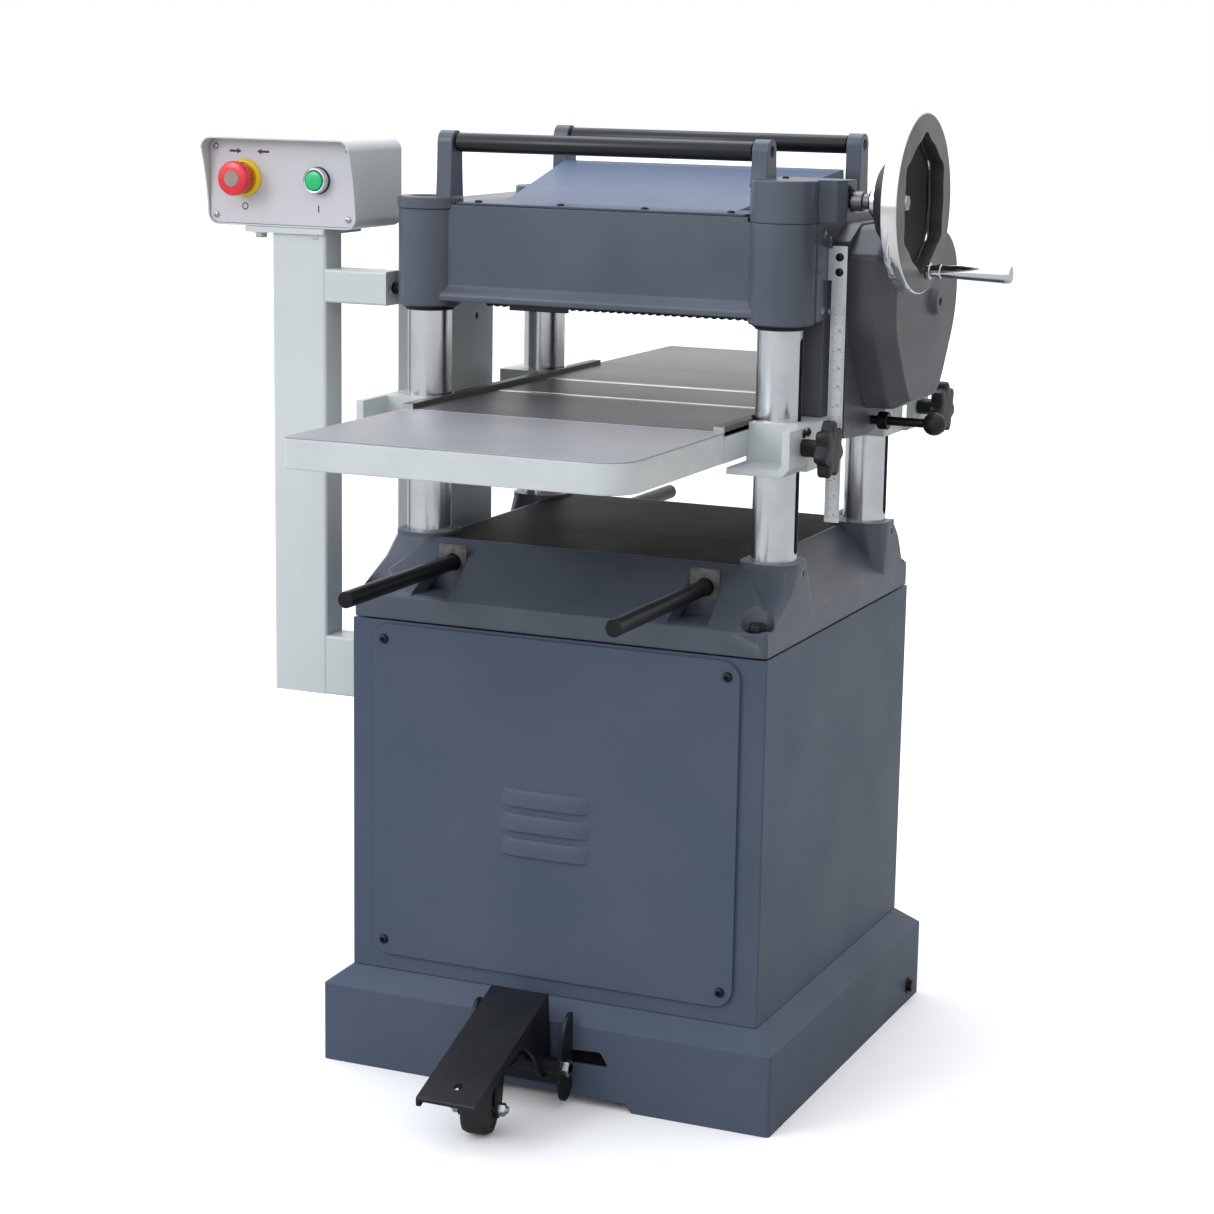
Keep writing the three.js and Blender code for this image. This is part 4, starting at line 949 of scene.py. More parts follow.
@dataclass
class Cabinet(Assembly):
    """The sheet-metal cabinet with its shelf and the louvred access panel."""

    sheet: float = 2.5
    fold: float = 3.0
    panel_radius: float = 22.0
    louvre_rows: tuple[float, ...] = (278.0, 306.0, 334.0)
    louvre_ends: tuple[float, float] = (-59.0, 48.0)
    screw_in: float = 14.0

    def shell(self) -> None:
        """Folds the cabinet: an outer box less its inside, openings, and a motor shelf."""
        c, p, m = self.spans("cabinet_shell", "access_panel", "motor")
        t = self.sheet
        outer = slab(Z, rounded(c.x0, c.x1, c.y0, c.y1, self.fold), c.z0, c.z1)
        inner = block(c.x0 + t, c.x1 - t, c.y0 + t, c.y1 - t, c.z0 + t, c.z1 - t)
        under = block(c.x0 + 35, c.x1 - 35, c.y0 + 35, c.y1 - 35, c.z0 - 1, c.z0 + 5)
        over = block(c.x0 + 25, c.x1 - 25, c.y0 + 25, c.y1 - 25, c.z1 - 5, c.z1 + 1)
        door = block(p.x0 + 22, p.x1 - 22, c.y0 - 1, c.y0 + t + 1, p.z0 + 22, p.z1 - 22)
        shaft = bar(X, 30, c.x0 - 2, c.x0 + t + 2, (66, 330))
        shelf = block(c.x0 + t - 1, c.x1 - t + 1, -4, 136, m.z0 - 6, m.z0 - 0.3)
        shape = join(cut(outer, inner, under, over, door, shaft), shelf)
        self.add("cabinet_body", shape, SLATE_SHEET, bevel=0.8, replaces=["cabinet_shell"])
        rear = slab(Y, rounded(c.x0 + 60, c.x1 - 60, c.z0 + 40, c.z1 - 40, 12), c.y1 - 0.5, c.y1 + 1.5)
        self.add("cabinet_rear_cover", rear, SLATE_SHEET, bevel=0.6)
        screws = [socket_button(Way.REAR, (s * (c.x1 - 74), c.y1 + 1.5, z), 5) for s in (-1, 1)
                  for z in (c.z0 + 54, c.z1 - 54)]
        self.add("rear_cover_screws", sum_of(screws), BLACK_OXIDE)

    def louvre(self, z: float, face: float, lift: float) -> Skin:
        """One pressed louvre: a hood that stands out most at its lower edge and fades at both ends.

        Its height over the sheet is lift * (1 - s^2)^0.5 * (1 - |2w - 1|^6), where s runs from the
        lower lip to the top and w along its length.

        Args:
            z: the height of its opening.
            face: the sheet's outer face.
            lift: how far the lip stands out.

        Returns:
            A closed hood.
        """
        s = np.linspace(0, 1, 11)[:, None]
        w = np.linspace(0, 1, 33)[None, :]
        x = self.louvre_ends[0] + (self.louvre_ends[1] - self.louvre_ends[0]) * w + 0 * s
        height = lift * np.sqrt(1 - s ** 2) * (1 - np.abs(2 * w - 1) ** 6)
        level = z - 8 + 20 * s + 0 * w
        outer = np.stack([x, face - height, level], axis=-1)
        inner = np.stack([x, face - np.maximum(height - 1.2, -0.6), level], axis=-1)
        inner[..., 1] = np.minimum(inner[..., 1], face + 0.6)
        n, m = outer.shape[:2]
        grid = np.arange(n * m).reshape(n, m)
        a, b, c, d = grid[:-1, :-1], grid[:-1, 1:], grid[1:, 1:], grid[1:, :-1]
        quads = np.stack([a, b, c, d], axis=-1).reshape(-1, 4)
        back = quads[:, ::-1] + n * m
        rim = np.concatenate([grid[0, :], grid[1:, -1], grid[-1, -2::-1], grid[-2:0:-1, 0]])
        after = np.roll(rim, -1)
        wall = np.stack([rim, rim + n * m, after + n * m, after], axis=-1)
        faces = [tuple(f) for f in np.vstack([quads, back, wall]).tolist()]
        return Skin(np.vstack([outer.reshape(-1, 3), inner.reshape(-1, 3)]), faces).outward()

    def panel(self) -> None:
        """Stamps the access panel: a rounded plate with slots, and a hood over each slot."""
        p = self.span("access_panel")
        back = p.y1
        front = back - 4.0
        lift = front - p.y0
        plate = slab(Y, rounded(p.x0, p.x1, p.z0, p.z1, self.panel_radius, 12), front, back)
        a, b = self.louvre_ends
        slots = [slab(Y, rounded(a + 4, b - 4, z - 8, z + 3, 3), front - 2, back + 2) for z in self.louvre_rows]
        self.add("panel_plate", cut(plate, *slots), SLATE_SHEET, bevel=1.0, replaces=["access_panel"],
                 segments=3)
        hoods = [self.louvre(z, front + 0.3, lift) for z in self.louvre_rows]
        self.add("panel_louvres", sum_of(hoods), SLATE_SHEET, sharp=60)
        d = self.screw_in
        spots = [(x, z) for x in (p.x0 + d, p.x1 - d) for z in (p.z0 + d + 3, p.z1 - d - 3)]
        screws = [socket_button(Way.FRONT, (x, front, z), 5.5) for x, z in spots]
        self.add("panel_screws", sum_of(screws), BLACK_OXIDE)

    def build(self) -> None:
        """Builds the cabinet and dresses the motor inside it."""
        self.shell()
        self.panel()
        self.dress("motor", BLACK_COAT)


@dataclass
class BeltDrive(Assembly):
    """The belt guard down the left side, over two pulleys and a banded belt."""

    sheet: float = 2.0

    def build(self) -> None:
        """Builds the hollow guard with its neck and standoffs, and dresses what it covers."""
        g, c, k = self.spans("belt_guard", "cabinet_shell", "cutterhead")
        x1 = c.x0 - 17
        t = self.sheet
        can = slab(X, rounded(g.y0, g.y1, g.z0, g.z1, 18, 10), g.x0, x1)
        neck = block(x1 - 1, c.x0 - 0.3, g.y0 + 20, g.y1 - 20, g.z0 + 20, 420)
        posts = [bar(X, 6, x1 - 1, g.x1, (y, k.z + 37), sides=32) for y in (g.y0 + 24, g.y1 - 24)]
        hollow = slab(X, rounded(g.y0 + t, g.y1 - t, g.z0 + t, g.z1 - t, 16, 10), g.x0 + t, x1 - t)
        way = block(x1 - t - 1, c.x0 + 1, g.y0 + 24, g.y1 - 24, g.z0 + 24, 416)
        shaft = bar(X, 20, x1 - t - 1, x1 + 2, (k.y, k.z))
        hole = bar(X, 4, x1 - t - 1, x1 + 2, (g.y1 - 44, 825), sides=24)
        shape = cut(join(can, neck, *posts), way, hollow, shaft, hole)
        self.add("guard_shell", shape, PALE_SHEET, bevel=1.5, replaces=["belt_guard"], segments=3)
        seam = cut(slab(X, rounded(g.y0 - 0.7, g.y1 + 0.7, g.z0 - 0.7, g.z1 + 0.7, 18.7, 10), x1 - 13,
                        x1 - 11.6),
                   slab(X, rounded(g.y0 + 1, g.y1 - 1, g.z0 + 1, g.z1 - 1, 17, 10), x1 - 20, x1))
        self.add("guard_seam", seam, PALE_SHEET)
        screws = [cross_screw(Way.LEFT, (g.x0, y, z), 5) for y in (g.y0 + 18, g.y1 - 18)
                  for z in (g.z0 + 22, g.z, g.z1 - 22)]
        self.add("guard_screws", sum_of(screws), ZINC)
        self.dress("motor_pulley", BLACK_OXIDE)
        self.dress("cutterhead_pulley", BLACK_OXIDE)
        self.dress("drive_belt", RUBBER)


@dataclass
class BaseCasting(Assembly):
    """The cast base: a band, sloping flanks, four column towers, rod pockets and bolt scoops."""

    band: float = 26.0
    slope: float = 55.0
    wall: float = 9.0
    tower_half: float = 33.0
    pocket_half: float = 19.0
    pocket_back: tuple[float, float] = (-182.0, 214.0)
    bolt_at: tuple[float, float] = (229.0, 224.0)

    def casting(self) -> None:
        """Joins band, flanks, towers and pocket cheeks, then cuts the inside, pockets and scoops."""
        b = self.span("base_casting")
        band_top = b.z0 + self.band
        deck = band_top + self.slope
        low = rounded(b.x0, b.x1, b.y0, b.y1, 5)
        top = rounded(-190, 190, -155, 205, 4)
        body = stack(Z, [(low, b.z0), (low, band_top), (top, deck)])
        towers = []
        for _, x, y, side, end in self.corners():
            h = self.tower_half
            foot_x = sorted((x - side * 42, side * b.x1))
            foot_y = sorted((y - end * 40, end * b.y1))
            foot = rounded(*foot_x, *foot_y, 12)
            mid = rounded(*sorted((x - side * 37, x + side * (h + 2))), *sorted((y - end * 36, y + end * 52)),
                          20)
            cap = rounded(*sorted((x - side * 34, x + side * h)), *sorted((y - end * 34, y + end * 35)), 26)
            towers.append(stack(Z, [(foot, band_top - 2), (mid, deck - 24), (cap, deck - 2), (cap, b.z1)]))
        cuts = [block(b.x0 + self.wall, b.x1 - self.wall, b.y0 + self.wall, b.y1 - self.wall, b.z0 - 1,
                      band_top - 4)]
        inner_low = rounded(b.x0 + 14, b.x1 - 14, b.y0 + 14, b.y1 - 14, 6)
        inner_top = rounded(-150, 150, -112, 162, 6)
        cuts.append(stack(Z, [(inner_low, band_top - 6), (inner_top, deck - 14)]))
        rods = self.spans("lifting_rod_front_left", "lifting_rod_front_right", "lifting_rod_rear_left",
                          "lifting_rod_rear_right")
        pads = []
        for rod in rods:
            end = -1 if rod.y < 0 else 1
            side = 1 if rod.x > 0 else -1
            back = self.pocket_back[0 if end < 0 else 1]
            reach = end * (b.y1 + 8)
            mouth = slab(X, smooth_corners([(back, band_top + 2), (reach, band_top + 2), (reach, b.z1 + 20),
                                            (back, b.z1 + 20)], [6, 0.1, 0.1, 0.1], 5), rod.x - self.pocket_half,
                         rod.x + self.pocket_half)
            flare = stack(Y, [
                (rounded(rod.x - self.pocket_half, rod.x + self.pocket_half, band_top + 2, b.z1 + 20, 3), back),
                (rounded(rod.x - self.pocket_half - 5 + side * 2, rod.x + self.pocket_half + 5 + side * 2,
                         band_top + 2, b.z1 + 20,
                         3), reach)])
            cuts += [mouth, flare, drill(Y, 9.8, *sorted((back - end * 90, back + end * 5)), (rod.x, rod.z), 48)]
            pad = slab(Y, rounded(rod.x - 17, rod.x + 17, rod.z - 12, deck - 2, 2),
                       *sorted((back - end * 2, back + end * 0.8)))
            pads.append(cut(pad, drill(Y, 10.2, back - 6, back + 6, (rod.x, rod.z), 48)))
        for _, x, y, side, end in self.corners():
            cuts.append(drill(Z, COLUMN_BORE, band_top, b.z1 + 2, (x, y)))
            cuts.append(drill(Z, 9, b.z0 - 1, band_top + 2, (x, y), 32))
            seat = (side * self.bolt_at[0], end * self.bolt_at[1])
            cuts.append(lathe(Z, [(15, band_top - 2), (17, band_top + 3), (21, band_top + 22), (34, b.z1 + 10)],
                              seat, 48))
        sills = []
        half = self.pocket_half + 7
        for rod in rods:
            end = -1 if rod.y < 0 else 1
            back = self.pocket_back[0 if end < 0 else 1]
            sills.append(block(rod.x - half, rod.x + half, *sorted((back - end * 9, end * (b.y1 - 6))),
                               band_top - 5, band_top + 2.7))
            sills.append(block(rod.x - half, rod.x + half, *sorted((back + end * 0.6, back - end * 9)),
                               band_top - 4, rod.z - 10.5))
        shape = join(cut(join(body, *towers), *cuts), *sills)
        self.add("base_casting_body", shape, SLATE_CAST, bevel=0.8, replaces=["base_casting"])
        self.add("rod_pads", sum_of(pads), MILLED_IRON)
        face = cut(slab(Z, inset(top, 3), deck - 0.4, deck + 0.3),
                   *[drill(Z, 26, deck - 2, deck + 2, (x, y)) for _, x, y, _, _ in self.corners()])
        self.add("bed_face", face, BED_IRON, bevel=0.1)

    def fasteners(self) -> None:
        """Adds the corner bolts on washers and the column set screws in the tower sides."""
        b = self.span("base_casting")
        floor = b.z0 + self.band - 2
        bolts, screws, rings = [], [], []
        for _, x, y, side, end in self.corners():
            at = (side * self.bolt_at[0], end * self.bolt_at[1])
            bolts += [washer(Way.UP, (*at, floor), 12, 2.2), hex_head(Way.UP, (*at, floor + 2), 17, 8)]
            way = Way.RIGHT if side > 0 else Way.LEFT
            for z in (b.z1 - 12, b.z1 - 32):
                spot = (x + side * (self.tower_half + 0.3), y, z)
                rings.append(head_turned(way, spot, [(5.2, -3), (5.2, 0.4), (4.4, 0.8), (4.4, 0.1)], 32))
                screws.append(head_turned(way, spot, [(4.3, -3), (4.3, 0.5), (3.4, 0.7), (2.2, 0.7)], 32))
        self.add("corner_bolts", sum_of(bolts), BLACK_OXIDE)
        self.add("set_screws", sum_of(screws), BLACK_OXIDE)
        self.add("set_screw_rims", sum_of(rings), ZINC)

    def rods(self) -> None:
        """Turns the four lifting rods, chamfered at both ends."""
        for name in ("front_left", "front_right", "rear_left", "rear_right"):
            node = f"lifting_rod_{name}"
            r = self.span(node)
            rod = bar(Y, (r.x1 - r.x0) / 2, r.y0, r.y1, (r.x, r.z), 1.0, 64)
            self.add(f"{node}_bar", rod, BLACK_OXIDE, node, replaces=[node])

    def columns(self) -> None:
        """Turns the hollow columns with their screw slots, and the seal ring under each head boss."""
        head = self.span("head_casting")
        b = self.span("base_casting")
        for name, x, y, side, _ in self.corners():
            node = f"column_{name}"
            c = self.span(node)
            r = (c.y1 - c.y0) / 2
            low, high = b.z1 + 8, head.z0 - 13
            slot = np.array(arc(y, high - 5.5, 5.5, 0, 180, 12) + arc(y, low + 5.5, 5.5, 180, 360, 12))
            cutter = slab(X, slot, *sorted((x, x + side * (r + 2))))
            column = tube(Z, r, 15, c.z0, c.z1, (x, y), 1.0, 96)
            self.add(f"{node}_tube", cut(column, cutter), TURNED_STEEL, bevel=0.3, replaces=[node])
            ring = lathe(Z, [(r + 1.2 + 1.4 * math.cos(a), head.z0 - 3.6 + 1.4 * math.sin(a))
                             for a in np.linspace(0, 2 * math.pi, 12, endpoint=False)], (x, y), 64, loop=True)
            self.add(f"{node}_seal", ring, RUBBER, sharp=80)
            collar = tube(Z, r + 5.5, r + 0.5, head.z0 - 2.2, head.z0 + 2, (x, y), 0.8)
            self.add(f"{node}_collar", collar, BLACK_OXIDE)
            self.dress(f"leadscrew_{name}", CROSS_STEEL)
        self.dress("elevation_chain", BLACK_OXIDE)

    def build(self) -> None:
        """Builds the casting, its fasteners, the rods and the columns."""
        self.casting()
        self.fasteners()
        self.rods()
        self.columns()


# ------------------------------------------------------------------ head
@dataclass
class Head(Assembly):
    """The head casting over the columns, with the chip deflector, return rollers and fingers."""

    boss: float = 35.5
    wall_inner: float = 226.0
    finger_count: int = 34
    finger_half: float = 160.0
    lug_head: float = 13.0
    lug_x: float = 186.0

    def casting(self) -> None:
        """Joins four turned bosses with two beams, a deck and side walls, and bores it."""
        h = self.span("head_casting")
        top = h.z1 - 5
        spots = [(name, x, y) for name, x, y, _, _ in self.corners()]
        front_y, rear_y = spots[0][2], spots[2][2]
        r = self.boss
        rows = [(r - 2.5, h.z0), (r - 0.8, h.z0 + 0.8), (r, h.z0 + 2.5), (r, top - 0.5), (r - 0.8, top)]
        bosses = [lathe(Z, rows, (x, y), 96) for _, x, y in spots]
        beam = front_y - 17
        half = spots[1][1] - 12
        deck = block(-self.wall_inner - 1, self.wall_inner + 1, beam + 4, rear_y + 15, h.z1 - 9, h.z1)
        chips = slab(Z, rounded(-150, 150, beam + 40, rear_y - 45, 8), h.z1 - 12, h.z1 + 2)
        lip = smooth_corners([(0, 26), (0, 7), (-9.5, 7), (-9.5, 15), (-2, 22)], [0.1, 0.1, 1.5, 3.5, 4])
        front = slab(Y, rounded(-half, half, h.z0 + 7, h.z1, 0.5), beam, beam + 14)
        front_lip = slab(X, lip + np.array([beam + 1, h.z0]), -half, half)
        rear = slab(Y, rounded(-half, half, h.z0 + 7, h.z1, 0.5), rear_y + 5, rear_y + 17)
        rear_lip = slab(X, lip * np.array([-1, 1]) + np.array([rear_y + 16, h.z0]), -half, half)
        walls = [slab(X, rounded(front_y + 10, rear_y - 10, h.z0 + 3, h.z1, 3),
                      *sorted((s * self.wall_inner, s * h.x1))) for s in (-1, 1)]
        cuts = [drill(Z, COLUMN_BORE, h.z0 - 1, top - 10, (x, y)) for _, x, y in spots]
        cuts += [drill(Z, 37.3, top, h.z1 + 2, (x, y)) for _, x, y in spots]
        cuts.append(block(176, h.x1 + 2, front_y - 42, front_y + 64, top, h.z1 + 2))
        k, i, o = self.spans("cutterhead", "infeed_roller", "outfeed_roller")
        cuts += [drill(X, 15.3, -260, 260, (k.y, k.z)), drill(X, 10.3, -260, 260, (i.y, i.z)),
                 drill(X, 10.3, -260, 260, (o.y, o.z))]
        shape = cut(join(deck, *bosses, front, front_lip, rear, rear_lip, *walls), chips, *cuts)
        self.add("head_body", shape, SLATE_CAST, bevel=0.6, replaces=["head_casting"])
        latch = block(-100, -30, beam - 6, beam - 1, h.z0 + 0.8, h.z0 + 8)
        self.add("beam_plate", latch, BLACK_OXIDE, bevel=0.4)
        screws = []
        for y, z in ((-79, h.z1 - 26), (-74, h.z0 + 12), (-98, h.z0 + 96), (-98, h.z0 + 14)):
            screws.append(head_turned(Way.RIGHT, (h.x1, y, z), [(4.6, -1), (4.6, 0.4), (3.8, 0.9), (3.8, 0.2),
                                                                (2, 0.2)], 32))
        self.add("wall_set_screws", sum_of(screws), ZINC)
        caps = []
        for part in (k, i, o):
            caps.append(head_turned(Way.LEFT, (-h.x1, part.y, part.z),
                                    [(24, -1), (24, 4), (22, 5.5), (16.2, 5.5), (16.2, 3), (15.9, -0.5)], 64))
        self.add("bearing_caps", sum_of(caps), BLACK_OXIDE)

    def hood(self) -> None:
        """Folds the chip deflector: a flange, a ramp that bends up from it, and two leaning cheeks."""
        d = self.span("dust_hood")
        z0, z1, t = d.z0, d.z1, 2.0
        y0, y1 = d.y0 + 42, d.y1
        left, right, rear_left, rear_right = -136.0, 138.0, -168.0, d.x1
        s = np.concatenate([np.linspace(0, 0.12, 7), np.linspace(0.16, 1, 15)])[:, None]
        w = np.linspace(0, 1, 25)[None, :]
        y = y0 + (y1 - y0) * s + 0 * w
        x = (left + (rear_left - left) * s) * (1 - w) + (right + (rear_right - right) * s) * w
        bend = np.clip(s / 0.1, 0, 1)
        rise = (z1 - z0 - t) * (s - 0.05 * bend * (2 - bend)) / 0.95
        z = z0 + t + np.maximum(rise, 0) + 0 * w
        sheet = np.stack([x, y, z], axis=-1)
        n, m = sheet.shape[:2]
        foot_left = sheet[:, :1].copy()
        foot_right = sheet[:, -1:].copy()
        foot_left[..., 0] -= 3.0
        foot_right[..., 0] += 3.0
        foot_left[..., 2] = z0 + 0.4
        foot_right[..., 2] = z0 + 0.4
        grid_points = np.concatenate([foot_left, sheet, foot_right], axis=1)
        m += 2
        grid = np.arange(n * m).reshape(n, m)
        quads = np.stack([grid[:-1, :-1], grid[:-1, 1:], grid[1:, 1:], grid[1:, :-1]], axis=-1).reshape(-1, 4)
        skin = Skin(grid_points.reshape(-1, 3), [tuple(q) for q in quads.tolist()])
        # The ramp's bluer enamel is a painted sky reflection.
        self.add("deflector_ramp", skin, SKY_TINTED_SLATE, thickness=t, replaces=["dust_hood"], sharp=40)
        flange = smooth_corners([(-172, d.y0), (172, d.y0), (172, y0), (d.x1, d.y1), (-172, d.y1)],
                                [4, 4, 12, 3, 3], 5)
        mouth = slab(Z, [(left + 2, y0 + 6), (right - 2, y0 + 6), (rear_right - 6, y1 + 5),
                         (rear_left + 4, y1 + 5)], z0 - 2,
                     z0 + 6)
        plate = cut(slab(Z, flange, z0, z0 + 2.5), mouth)
        self.add("deflector_flange", plate, SLATE_SHEET, bevel=0.5)
        screws = [socket_button(Way.UP, (x, d.y0 + 14, z0 + 2.5), 4.5) for x in (-150, -50, 50, 150)]
        self.add("deflector_screws", sum_of(screws), BLACK_OXIDE)

    def lug(self, x: float, y: float, z: float, base: float) -> Skin:
        """A roller's lug: an outline that narrows up to a round head, thicker at its foot.

        Args:
            x: the middle of its thickness.
            y: the roller's axis along Y.
            z: the roller's axis along Z.
            base: the height of its foot.

        Returns:
            The lug, still without its pin bores.
        """
        r = self.lug_head
        head = np.array(arc(y, z, r, 0, 180, 16))
        rise = np.linspace(0, 1, 9)[1:-1]
        flank = r + 4 * (1 - rise) ** 2
        left = np.stack([y - flank[::-1], z + (base - z) * (1 - rise[::-1])], axis=1)
        right = np.stack([y + flank, base + (z - base) * rise], axis=1)
        outline = np.vstack([[y + r + 6, base], right, head, left, [y - r - 6, base]])
        return slab(X, outline, x - 9, x + 9)

    def pin_bores(self, side: int, y: float, z: float, end: float) -> list[Skin]:
        """The tools for a roller's pin in a lug: its bore, a small hole right through, and a screw's seat.

        Args:
            side: 1 on the right, -1 on the left.
            y: the roller's axis along Y.
            z: the roller's axis along Z.
            end: how far out the small hole goes.

        Returns:
            The three tools.
        """
        rows = ((6.6, 170, 188, 48), (3.8, 170, end, 32), (6.4, 192.5, 204, 48))
        return [drill(X, radius, *sorted((side * near, side * far)), (y, z), sides)
                for radius, near, far, sides in rows]

    def posts(self) -> None:
        """Builds the three capping rings with their lugs, bored for the rollers' pins."""
        for name, x, y, side, _ in self.corners():
            if name == "rf":
                continue
            node = f"roller_post_{name}"
            p, roller = self.span(node), self.span("return_roller_front")
            side = 1 if x > 0 else -1
            base = p.z0
            ring = lathe(Z, [(23, base), (36.5, base), (37, base + 0.6), (37, base + 11.5), (35.6, base + 13),
                             (24.4, base + 13), (23, base + 11.6)], (x, y), 96, loop=True)
            floor = bar(Z, 24, base, base + 4, (x, y), 0.2)
            lug = self.lug(side * self.lug_x, y, roller.z, base + 1)
            shape = cut(join(ring, floor, lug), *self.pin_bores(side, y, roller.z, 220))
            self.add(f"{node}_casting", shape, SLATE_CAST, bevel=0.9, replaces=[node], segments=3)

    def rollers(self) -> None:
        """Turns the return rollers: a long tube with rolled ends and a pin at each end."""
        for name in ("front", "rear"):
            node = f"return_roller_{name}"
            b = self.span(node)
            r, at = (b.z1 - b.z0) / 2, (b.y, b.z)
            half = b.x1 - 12
            rows = [(6.2, -half + 0.4), (r - 2.2, -half), (r - 0.5, -half + 0.6), (r, -half + 2), (r, half - 2),
                    (r - 0.5, half - 0.6), (r - 2.2, half), (6.2, half - 0.4)]
            self.add(f"{node}_tube", lathe(X, rows, at, 64), BLACK_TUBE, node, replaces=[node])
            pin = bar(X, 5.9, b.x0, b.x1, at, 0.8, 48)
            self.add(f"{node}_pin", pin, BLACK_OXIDE, node)

    def fingers(self) -> None:
        """Cuts the row of round-nosed fingers, each a plate with a round end that leans to the rear."""
        f = self.span("kickback_fingers")
        y, half = f.y, self.finger_half
        pitch = 2 * half / self.finger_count
        low, high = f.z0, f.z1 - 4
        r = pitch / 2 - 0.7
        fingers = []
        nose = np.array(arc(0, low + r + 0.5, r, 180, 360, 10) + [(r, high), (-r, high)])
        for i in range(self.finger_count):
            x = -half + pitch * (i + 0.5)
            plate = slab(Y, nose + np.array([x, 0]), y - 5.5, y + 5.5)
            lean = (high - plate.points[:, 2]) * 0.1
            points = plate.points + np.stack([0 * lean, lean - 1.5, 0 * lean], axis=1)
            fingers.append(Skin(points, plate.faces))
        self.add("finger_row", sum_of(fingers), BLACK_OXIDE, "kickback_fingers", bevel=0.8,
                 replaces=["kickback_fingers"])
        rod = bar(X, 7, f.x0, f.x1, (f.y, (f.z0 + f.z1) / 2 + 17), 1.0, 32)
        self.add("finger_rod", rod, CROSS_STEEL, "kickback_fingers")

    def build(self) -> None:
        """Builds the head and dresses the cutterhead and feed rollers."""
        self.casting()
        self.hood()
        self.posts()
        self.rollers()
        self.fingers()
        for node in ("cutterhead", "infeed_roller", "outfeed_roller"):
            self.dress(node, CROSS_STEEL)


